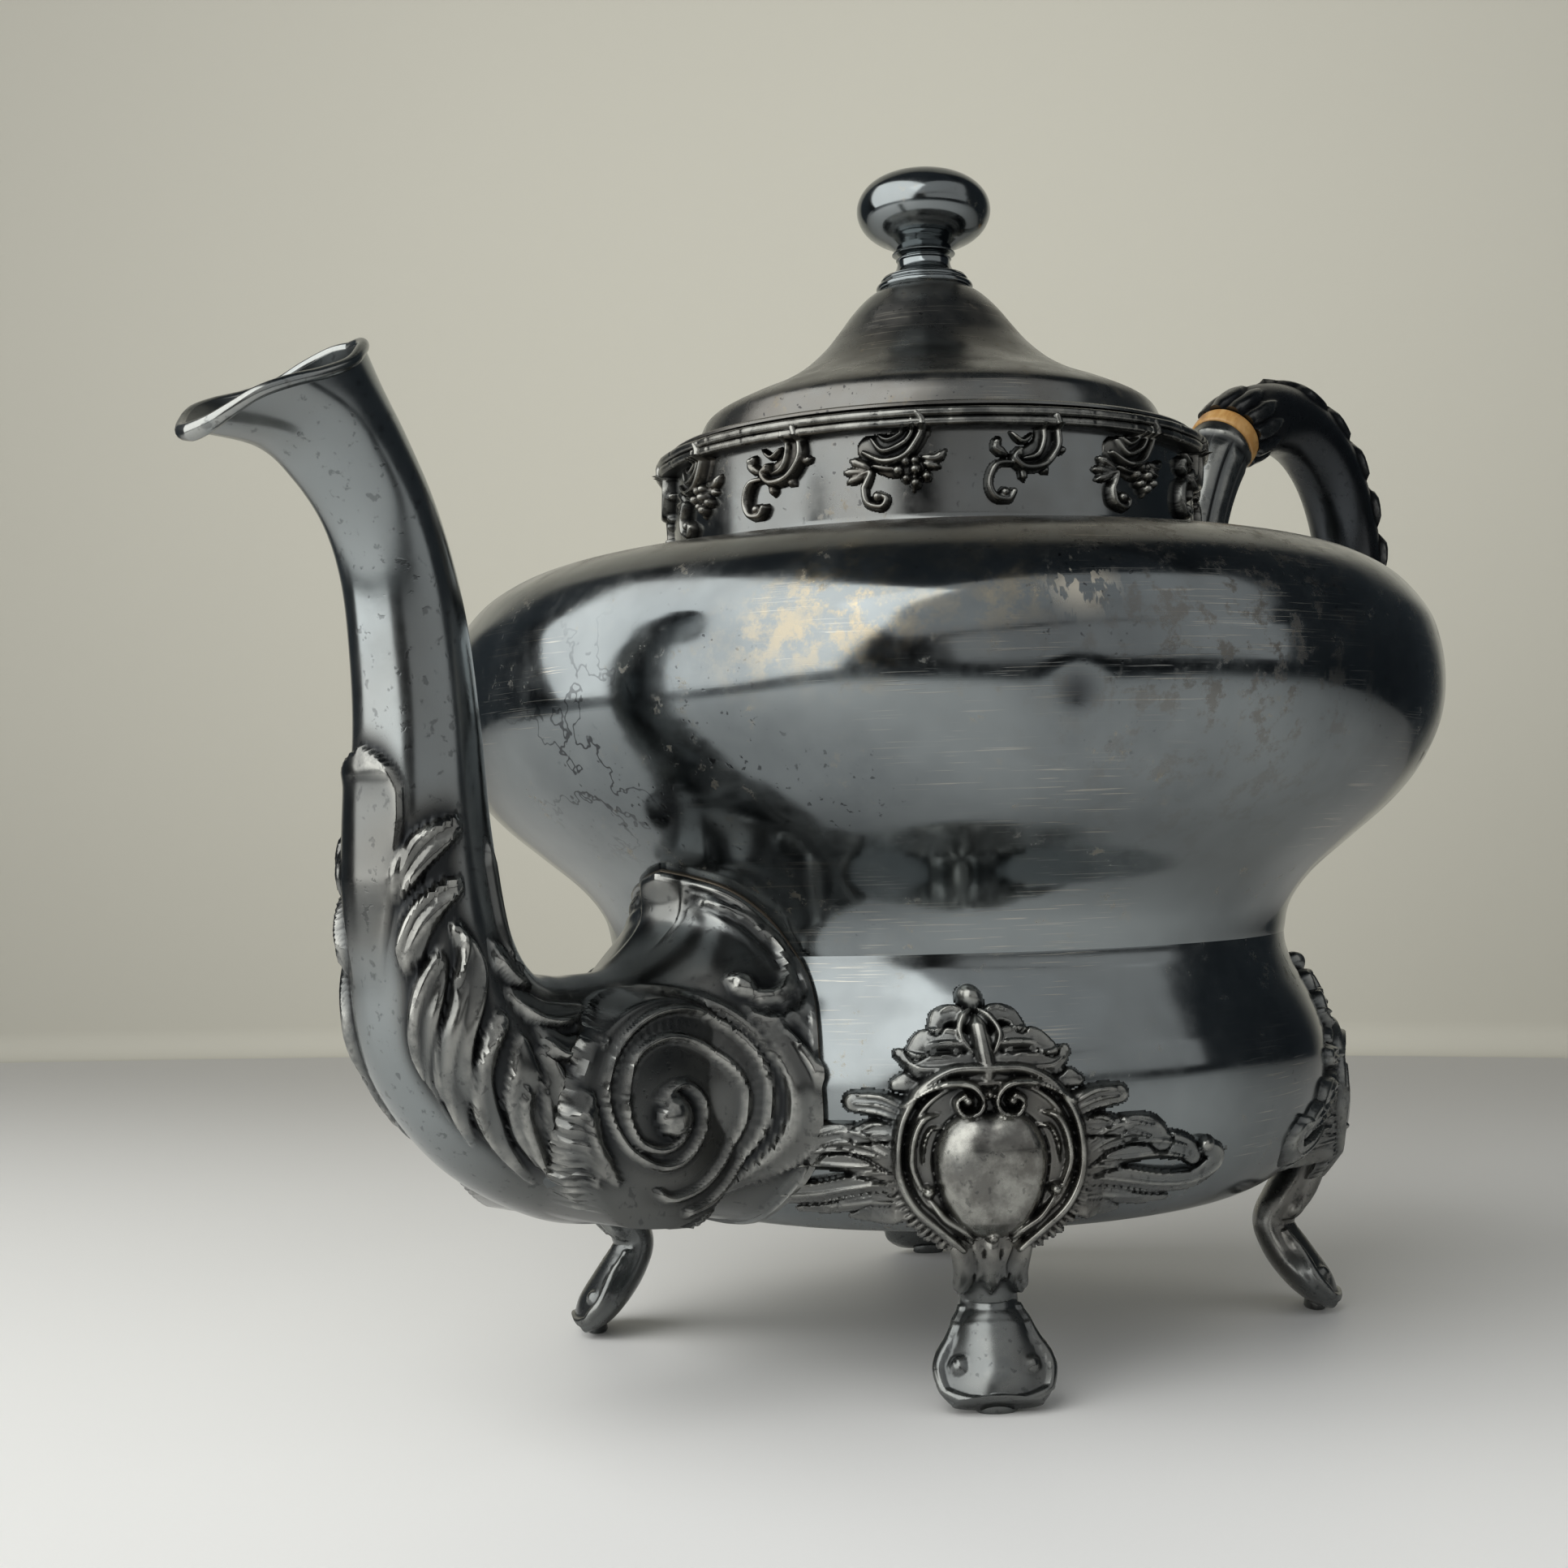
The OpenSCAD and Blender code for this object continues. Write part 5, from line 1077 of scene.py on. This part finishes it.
def borderCasting(name, strands, balls, plates):
    sideways = np.arange(-9, 8.6, border["gap"])
    rise = np.arange(-12.8, 3.0, border["gap"])
    acrossHere, upHere = np.meshgrid(sideways, rise)
    places = np.column_stack([acrossHere.ravel(), upHere.ravel()])
    lift = np.maximum(strandLift(places, strands), ballLift(places, balls))
    lift = np.maximum(lift, strandLift(places, plates)).reshape(acrossHere.shape)
    wear = wearOf(lift, 3)
    ground = pot["collarRadius"] + (border["depth"] - 0.9) * np.clip((upHere + 0.4) / 0.8, 0, 1)
    lift = np.where(upHere > 0.4, lift * 0.55, lift)

    def place(height):
        radius = ground + height
        return np.stack([radius * np.cos(acrossHere / 45), radius * np.sin(acrossHere / 45),
                         np.minimum(wireLow + upHere, pot["collarHeight"] + 0.2)], -1)

    points, faces, used = reliefPatch(place, lift, 0.03, -0.6)
    wear = {key: value.ravel()[used] for key, value in wear.items()}
    return makePiece(name, points, faces, None, None, borderSilver, 70, wear)


def roundCollar(name, casting, phase, cadNode):
    # Geometry Nodes set copies of one casting round the collar, apart from the hinge's place
    tree = bpy.data.node_groups.new(name + "_ring", "GeometryNodeTree")
    sockets = {}
    for label, kind in (("Casting", "NodeSocketObject"), ("Copies", "NodeSocketInt"),
                        ("First angle", "NodeSocketFloat"),
                        ("Clear of hinge", "NodeSocketFloat"), ("Finish", "NodeSocketMaterial")):
        sockets[label] = tree.interface.new_socket(label, in_out="INPUT", socket_type=kind).identifier
    tree.interface.new_socket("Ring", in_out="OUTPUT", socket_type="NodeSocketGeometry")
    nodes, links = tree.nodes, tree.links
    given = nodes.new("NodeGroupInput")
    result = nodes.new("NodeGroupOutput")

    def maths(operation, a, b=0.0):
        node = nodes.new("ShaderNodeMath")
        node.operation = operation
        for slot, value in zip(node.inputs, (a, b)):
            if isinstance(value, bpy.types.NodeSocket):
                links.new(value, slot)
            else:
                slot.default_value = value
        return node.outputs[0]

    step = maths("DIVIDE", 360, given.outputs["Copies"])
    index = nodes.new("GeometryNodeInputIndex").outputs[0]
    angle = maths("ADD", maths("MULTIPLY", index, step), given.outputs["First angle"])
    fromHinge = maths("ABSOLUTE", maths("WRAP", angle, 180))
    fromHinge.node.inputs[0].links[0].from_node.inputs[2].default_value = -180
    keep = nodes.new("FunctionNodeCompare")
    keep.operation = "LESS_THAN"
    links.new(fromHinge, keep.inputs[0])
    links.new(given.outputs["Clear of hinge"], keep.inputs[1])
    dots = nodes.new("GeometryNodePoints")
    links.new(given.outputs["Copies"], dots.inputs["Count"])
    bare = nodes.new("GeometryNodeDeleteGeometry")
    spin = nodes.new("ShaderNodeCombineXYZ")
    links.new(maths("RADIANS", angle), spin.inputs["Z"])
    store = nodes.new("GeometryNodeStoreNamedAttribute")
    store.data_type = "FLOAT_VECTOR"
    store.inputs["Name"].default_value = "spin"
    links.new(dots.outputs[0], store.inputs["Geometry"])
    links.new(spin.outputs[0], store.inputs["Value"])
    links.new(store.outputs[0], bare.inputs["Geometry"])
    links.new(keep.outputs[0], bare.inputs["Selection"])
    read = nodes.new("GeometryNodeInputNamedAttribute")
    read.data_type = "FLOAT_VECTOR"
    read.inputs["Name"].default_value = "spin"
    source = nodes.new("GeometryNodeObjectInfo")
    links.new(given.outputs["Casting"], source.inputs["Object"])
    copies = nodes.new("GeometryNodeInstanceOnPoints")
    links.new(bare.outputs[0], copies.inputs["Points"])
    links.new(source.outputs["Geometry"], copies.inputs["Instance"])
    links.new(read.outputs[0], copies.inputs["Rotation"])
    real = nodes.new("GeometryNodeRealizeInstances")
    links.new(copies.outputs[0], real.inputs[0])
    finish = nodes.new("GeometryNodeSetMaterial")
    links.new(real.outputs[0], finish.inputs["Geometry"])
    links.new(given.outputs["Finish"], finish.inputs["Material"])
    links.new(finish.outputs[0], result.inputs[0])

    carrier = bpy.data.objects.new(name + "_carrier", bpy.data.meshes.new(name + "_carrier"))
    bpy.context.scene.collection.objects.link(carrier)
    modifier = carrier.modifiers.new("ring", "NODES")
    modifier.node_group = tree
    modifier[sockets["Casting"]] = casting
    modifier[sockets["Copies"]] = border["motifs"]
    modifier[sockets["First angle"]] = border["firstAngle"] + phase * 360 / border["motifs"]
    modifier[sockets["Clear of hinge"]] = border["clear"]
    modifier[sockets["Finish"]] = borderSilver
    bpy.context.view_layer.update()
    made = bpy.data.meshes.new_from_object(carrier.evaluated_get(bpy.context.evaluated_depsgraph_get()))
    bpy.data.objects.remove(carrier)
    bpy.data.objects.remove(casting)
    piece = bpy.data.objects.new(name, made)
    bpy.context.scene.collection.objects.link(piece)
    made.polygons.foreach_set("use_smooth", [True] * len(made.polygons))
    made.set_sharp_from_angle(angle=math.radians(70))
    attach(piece, "pot")
    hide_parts(cadNode)
    return piece


roundCollar("border_sprays", borderCasting("spray_casting", spray, sprayBeads, plateSpray), 0,
            "border_flower_sprays")
roundCollar("border_scrolls", borderCasting("scroll_casting", scroll, scrollBeads, plateScroll), 0.5,
            "border_leaf_scrolls")
print("border ready")


handle = {
    "upperJoint": (94, 163, 40), "lowerJoint": (88, 79.5, 222), "ringThickness": 4.0, "ringRadius": 7.0,
    "gripRadius": 7.2, "sides": 112, "socketSides": 108, "socketEnd": 6.4, "gripEnd": 6.7, "flutes": 4.5,
    "grip": [(101, 167, 7.2), (110, 169.6, 7.5), (119, 169.6, 7.5), (128, 166.2, 7.4), (135.5, 159.6, 7.3),
             (140.5, 150, 7.2), (142.4, 139, 7.2), (141.2, 127, 7.2), (136.5, 115, 7.2), (128.5, 104.5, 7.2),
             (118, 96.6, 7.2), (106, 91, 7.2), (96, 86.4, 7.2)],
    "upperSocket": [(72, 116, 11), (75.5, 127, 8.6), (79.5, 137, 6.2), (83.5, 146.5, 5.6),
                    (87.5, 154.5, 5.9)],
    "lowerSocket": [(80, 71.6, 5.9), (72.5, 63.6, 6.8), (64, 57, 9.5), (54, 52, 13)],
}


def atJoint(joint, along):
    reach, height, heading = joint
    return reach + along * math.cos(math.radians(heading)), height + along * math.sin(math.radians(heading))


def sweep(stations, sides, first=None, last=None):
    # rows of points round a line in the plane of the handle, starting on its outer side
    line = smoothLine(stations, 10)
    run = np.gradient(line[:, :2], axis=0)
    run /= np.linalg.norm(run, axis=1)[:, None]
    for row, heading in ((0, first), (-1, last)):
        if heading is not None:
            run[row] = (math.cos(math.radians(heading)), math.sin(math.radians(heading)))
    a = np.linspace(0, 2 * math.pi, sides, endpoint=False)
    out = np.cos(a)
    points = np.stack([line[:, :1] - run[:, 1:] * line[:, 2:] * out, line[:, 2:] * np.sin(a),
                       line[:, 1:2] + run[:, :1] * line[:, 2:] * out], -1)
    length = np.concatenate([[0], np.cumsum(np.linalg.norm(np.diff(line[:, :2], axis=0), axis=1))])
    return points, line, length, a


half = handle["ringThickness"] / 2
start, end = atJoint(handle["upperJoint"], half), atJoint(handle["lowerJoint"], -half)
gripStations = [start + (handle["gripEnd"],)] + handle["grip"] + [end + (handle["gripEnd"],)]
points, line, length, a = sweep(gripStations, handle["sides"], 40, 222)
out = gridNormals(points)
if ((points - points.mean(1, keepdims=True)) * out).sum() < 0:
    out = -out
around = np.abs(np.degrees(np.angle(np.exp(1j * a)))) * math.pi / 180 * handle["gripRadius"]
alongHere, aroundHere = np.meshgrid(length, around, indexing="ij")
chart = np.column_stack([aroundHere.ravel(), alongHere.ravel()])
total = length[-1]
leafy = [([(0, 16), (0, total - 16)], 0.9, 1.3, 0.6, 0.6)]
for k in range(11):
    t = 20 + k * (total - 50) / 11
    big = 1 + 0.35 * math.sin(math.pi * k / 10)
    leafy += [([(0.3, t), (2.6 * big, t + 3.5), (5.2 * big, t + 4.6), (6.4 * big, t + 8.2)],
               1.5, 1.25 * big, 0.5, 0.5),
              ([(0.3, t + 3.6), (2.2 * big, t + 6.6), (4.6 * big, t + 9.2)], 0.8, 0.9, 0.5, 0.3)]
for k in range(6):
    leafy += [([(k * 4.0, 0.4), (k * 4.0 + 0.6, 4), (k * 4.0, 9.5)], 1.7, 1.1, 0.9, 0.3)]
    leafy += [([(k * 4.0, total - 0.4), (k * 4.0 + 0.6, total - 4), (k * 4.0, total - 9.5)],
               1.7, 1.1, 0.9, 0.3)]
lift = strandLift(chart, leafy).reshape(alongHere.shape)
wear = wearOf(lift, 3, True)
skin = points + out * lift[..., None]
faces = gridFaces(len(skin), handle["sides"]).tolist()
last = (len(skin) - 1) * handle["sides"]
faces += [list(range(handle["sides"]))[::-1], [last + k for k in range(handle["sides"])]]
inwards = ((points - points.mean(1, keepdims=True)) * gridNormals(points)).sum() < 0
if inwards:
    faces = [f[::-1] for f in faces]
makePiece("handle_leaf_grip", skin, faces, "pot", ["handle_grip"], gripSilver, 60, wear)

upperEnd = atJoint(handle["upperJoint"], -half) + (handle["socketEnd"],)
lowerEnd = atJoint(handle["lowerJoint"], half) + (handle["socketEnd"],)
sockets = {
    "handle_upper_fluted_socket": ("handle_upper_socket", handle["upperSocket"] + [upperEnd], None, 40),
    "handle_lower_fluted_socket": ("handle_lower_socket", [lowerEnd] + handle["lowerSocket"], 222, None),
}
for name, (node, stations, first, finalHeading) in sockets.items():
    points, line, length, a = sweep(stations, handle["socketSides"], first, finalHeading)
    out = gridNormals(points)
    inwards = ((points - points.mean(1, keepdims=True)) * out).sum() < 0
    if inwards:
        out = -out
    fromRing = length[-1] - length if name.startswith("handle_upper") else length
    flute = np.abs(np.cos(a * handle["flutes"]))[None, :]
    edgeAt = 1.6 + 1.2 * flute
    ridge = 0.55 * flute**0.6 * (fromRing[:, None] > edgeAt)
    ridge = ridge * np.clip((fromRing[:, None] - edgeAt) / 1.5, 0, 1)
    collarBand = 0.55 * np.exp(-((fromRing[:, None] - 1.0) / 0.8)**2)
    lift = ridge + collarBand * (0.7 + 0.3 * flute)
    lift = np.minimum(lift, 1.0)
    wear = wearOf(lift, 3, True, 2.0)
    skin = points + out * lift[..., None]
    faces = gridFaces(len(skin), handle["socketSides"]).tolist()
    last = (len(skin) - 1) * handle["socketSides"]
    faces += [list(range(handle["socketSides"]))[::-1], [last + k for k in range(handle["socketSides"])]]
    if inwards:
        faces = [f[::-1] for f in faces]
    makePiece(name, skin, faces, "pot", [node], castSilver, 60, wear)

for name, joint in (("upper_insulator", handle["upperJoint"]), ("lower_insulator", handle["lowerJoint"])):
    radius, thick = handle["ringRadius"], handle["ringThickness"] / 2
    outline = smoothLine([(radius - 1.2, -thick), (radius - 0.35, -thick + 0.1), (radius, -thick + 0.8),
                          (radius + 0.02, 0), (radius, thick - 0.8), (radius - 0.35, thick - 0.1),
                          (radius - 1.2, thick)], 6)
    outline = np.vstack([[(0, -8), (3.1, -8), (3.2, -7.8), (3.2, -thick)], outline,
                         [(3.2, thick), (3.2, 7.8), (3.1, 8), (0, 8)]])
    heading = math.radians(joint[2])
    aim = np.array([math.cos(heading), 0, math.sin(heading)])
    wide = np.array([math.sin(heading), 0, -math.cos(heading)])

    def alongJoint(points):
        return (np.array([joint[0], 0, joint[1]]) + points[:, :1] * wide +
                points[:, 1:2] * np.array([0, 1, 0]) + points[:, 2:] * aim)

    turned("bone_" + name, outline, "pot", [name], bone, 96, closed=False, bend=alongJoint)
print("handle ready")


for name, finish in (("base_plate", lowerSilver), ("lid_bezel", collarSilver), ("finial_nut", knobSilver),
                     ("hinge_lid_leaf", collarSilver), ("hinge_collar_leaf", collarSilver),
                     ("hinge_pin", knobSilver), ("upper_handle_pins", knobSilver),
                     ("lower_handle_pins", knobSilver)):
    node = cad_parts[name]
    node.data.materials.clear()
    node.data.materials.append(finish)


room = {
    "camera": (-292.873, -246.421, 83.049), "forward": (0.7172308, 0.69630465, 0.02719953),
    "up": (0.00115737, -0.04022319, 0.99919005), "lens": 50.31, "sensor": 36.0,
    "radius": 2000.0, "height": 1500.0, "cove": 12.0, "depth": 880.0, "slant": 0.28,
    "wall": (0.56, 0.545, 0.475), "wallEdge": (0.34, 0.33, 0.29), "dark": (0.018, 0.026, 0.034),
    "table": (0.89, 0.89, 0.885), "tableFarShade": (0.40, 0.395, 0.385), "bright": (-0.10, 0.50, 0.23),
    "sheet": (-0.56, -0.42, 0.27, 0.40), "tableShadeRing": (0.62, 0.85),
    "world": (0.040, 0.048, 0.055),
}
forward = Vector(room["forward"])
up = Vector(room["up"])
cameraData = bpy.data.cameras.new("camera")
cameraData.sensor_fit = "HORIZONTAL"
cameraData.sensor_width = room["sensor"]
cameraData.lens = room["lens"]
cameraData.clip_start = 0.01
cameraData.clip_end = 20
camera = bpy.data.objects.new("camera", cameraData)
side = forward.cross(up)
side.normalize()
rightUp = side.cross(forward)
turnOf = Matrix((side, rightUp, -forward)).transposed().to_4x4()
camera.matrix_world = Matrix.Translation(Vector(room["camera"]) * mm) @ turnOf
bpy.context.scene.collection.objects.link(camera)
bpy.context.scene.camera = camera

ahead = Vector((forward.x, forward.y, 0)).normalized()
across = Vector((side.x, side.y, 0)).normalized()
level = (ahead + across * room["slant"]).normalized()
start = Vector((room["camera"][0], room["camera"][1], 0)) + ahead * room["depth"]
middle = start - level * room["radius"]
angles = np.linspace(0, 2 * math.pi, 192, endpoint=False)
coveLine = [(room["radius"] - room["cove"] * (1 - math.sin(a)), room["cove"] * (1 - math.cos(a)))
            for a in np.linspace(0, math.pi / 2, 10)]
wallLine = np.array(coveLine + [(room["radius"], z) for z in np.linspace(80, room["height"], 12)])
wallPoints = np.stack([middle.x + wallLine[:, :1] * np.cos(angles),
                       middle.y + wallLine[:, :1] * np.sin(angles),
                       np.repeat(wallLine[:, 1:], len(angles), 1)], -1)
wallFaces = gridFaces(len(wallLine), len(angles))[:, ::-1]  # faces look into the room
wallFinish = Finish("wall_paint")
alongWall = wallFinish.node("VectorMath", {0: wallFinish.place, 1: tuple(across)}, "Value",
                            operation="DOT_PRODUCT")
toWall = wallFinish.node("VectorMath", {0: wallFinish.place, 1: tuple(level)}, "Value",
                         operation="DOT_PRODUCT")
farLeft, left, right, farRight = room["sheet"]  # the pale sheet's soft ends; past them the wall is painted dark, a painted shade of the unlit room
shade = wallFinish.math("MULTIPLY", wallFinish.band(alongWall, farLeft, left),
                        wallFinish.band(alongWall, farRight, right))
shade = wallFinish.math("MULTIPLY", shade, wallFinish.band(toWall, 0.0, 0.3))
# painted light: the wall's paint is palest round this point and darker away from it, a painted pool of light
brightest = across * room["bright"][0] + level * room["bright"][1] + Vector((0, 0, room["bright"][2]))
fromBright = wallFinish.node("VectorMath", {0: wallFinish.place, 1: tuple(brightest)}, "Value",
                             operation="DISTANCE")
paint = wallFinish.mix(wallFinish.band(fromBright, 0.05, 0.62), room["wall"] + (1,), room["wallEdge"] + (1,))
paint = wallFinish.mix(wallFinish.math("MULTIPLY", wallFinish.noise(3, 3), 0.12), paint,
                       room["wallEdge"] + (1,))
# beyond the sheet the camera sees pale paint while reflections see the painted shade
seen = wallFinish.tree.nodes.new("ShaderNodeLightPath").outputs["Is Camera Ray"]
beyond = wallFinish.math("MAXIMUM", wallFinish.band(wallFinish.math("ABSOLUTE", alongWall), 0.42, 0.7),
                         wallFinish.band(toWall, 0.3, 0.0))
shade = wallFinish.math("MAXIMUM", shade, wallFinish.math("MULTIPLY", beyond, seen))
paint = wallFinish.mix(shade, room["dark"] + (1,), paint)
wallFinish.end(Base_Color=paint, Roughness=0.9, Normal=wallFinish.bump(wallFinish.noise(90, 4), 0.10, 0.4))
seeThrough = wallFinish.tree.nodes.new("ShaderNodeBsdfTransparent")
choose = wallFinish.tree.nodes.new("ShaderNodeMixShader")
backs = wallFinish.tree.nodes.new("ShaderNodeNewGeometry").outputs["Backfacing"]
wallFinish.tree.links.new(backs, choose.inputs[0])
wallFinish.tree.links.new(wallFinish.shader.outputs[0], choose.inputs[1])
wallFinish.tree.links.new(seeThrough.outputs[0], choose.inputs[2])
wallFinish.tree.links.new(choose.outputs[0], wallFinish.tree.nodes["Material Output"].inputs["Surface"])
wall = makePiece("backdrop_wall", wallPoints, wallFaces, None, None, wallFinish.material, 80)
wall.visible_shadow = False

tableRings = np.linspace(1, room["radius"] - room["cove"], 9)
tablePoints = np.stack([middle.x + tableRings[:, None] * np.cos(angles),
                        middle.y + tableRings[:, None] * np.sin(angles),
                        np.zeros((len(tableRings), len(angles)))], -1)
tableFaces = gridFaces(len(tableRings), len(angles))[:, ::-1].tolist() + [list(range(len(angles)))]
tableFinish = Finish("table_top")
grain = tableFinish.noise(1400, 3, 0.6)
top = tableFinish.mix(tableFinish.math("MULTIPLY", grain, 0.06), room["table"] + (1,), (0.62, 0.62, 0.62, 1))
fromPot = tableFinish.node("VectorMath", {0: tableFinish.place}, "Value", operation="LENGTH")
toWall = tableFinish.node("VectorMath", {0: tableFinish.place, 1: tuple(level)}, "Value",
                          operation="DOT_PRODUCT")
# painted shade: far from the pot on the camera's side, reflections see the table painted dark while the
# camera sees it pale
tableShadeBeyond = tableFinish.math("MULTIPLY", tableFinish.band(fromPot, *room["tableShadeRing"]),
                         tableFinish.band(toWall, 0.25, -0.15))
# painted shade: the table darkens towards the wall
top = tableFinish.mix(tableFinish.band(toWall, -0.12, 0.42), top, room["tableFarShade"] + (1,))
seen = tableFinish.tree.nodes.new("ShaderNodeLightPath").outputs["Is Camera Ray"]
tableShadeBeyond = tableFinish.math("MULTIPLY", tableShadeBeyond, tableFinish.math("SUBTRACT", 1.0, seen))
top = tableFinish.mix(tableShadeBeyond, top, room["dark"] + (1,))
tableFinish.end(Base_Color=top, Roughness=0.55, Normal=tableFinish.bump(grain, 0.10, 0.05))
table = makePiece("table_top", tablePoints, tableFaces, None, None, tableFinish.material, 80)


def softLight(name, azimuth, elevation, distance, wide, tall, level, colour, glossy=True):
    # a panel lamp at that bearing from the pot's middle, in degrees and millimetres, turned towards it
    data = bpy.data.lights.new(name, "AREA")
    data.shape = "RECTANGLE"
    data.size = wide * mm
    data.size_y = tall * mm
    data.energy = level * wide * tall * mm * mm * 4
    data.color = colour
    lamp = bpy.data.objects.new(name, data)
    a, e = math.radians(azimuth), math.radians(elevation)
    target = Vector((0, 0, 90)) * mm
    lamp.location = target + Vector((math.cos(a) * math.cos(e), math.sin(a) * math.cos(e),
                                     math.sin(e))) * distance * mm
    lamp.rotation_euler = (target - lamp.location).to_track_quat("-Z", "Y").to_euler()
    bpy.context.scene.collection.objects.link(lamp)
    lamp.visible_camera = False
    lamp.visible_glossy = glossy
    return lamp


softLight("left_window", 165, 32, 1000, 1700, 1400, 1.9, (1.0, 1.0, 0.97))
softLight("right_high", 262, 42, 1000, 2200, 750, 0.42, (1.0, 1.0, 0.98))
softLight("right_low", 270, 11, 1000, 2050, 350, 0.42, (1.0, 1.0, 0.98))
softLight("ceiling_fill", 190, 80, 1300, 900, 900, 0.5, (1.0, 0.98, 0.95), False)

world = bpy.data.worlds.new("room_air")
world.use_nodes = True
world.node_tree.nodes["Background"].inputs["Color"].default_value = room["world"] + (1,)
bpy.context.scene.world = world
bpy.context.scene.view_settings.view_transform = "Standard"
print("room ready")
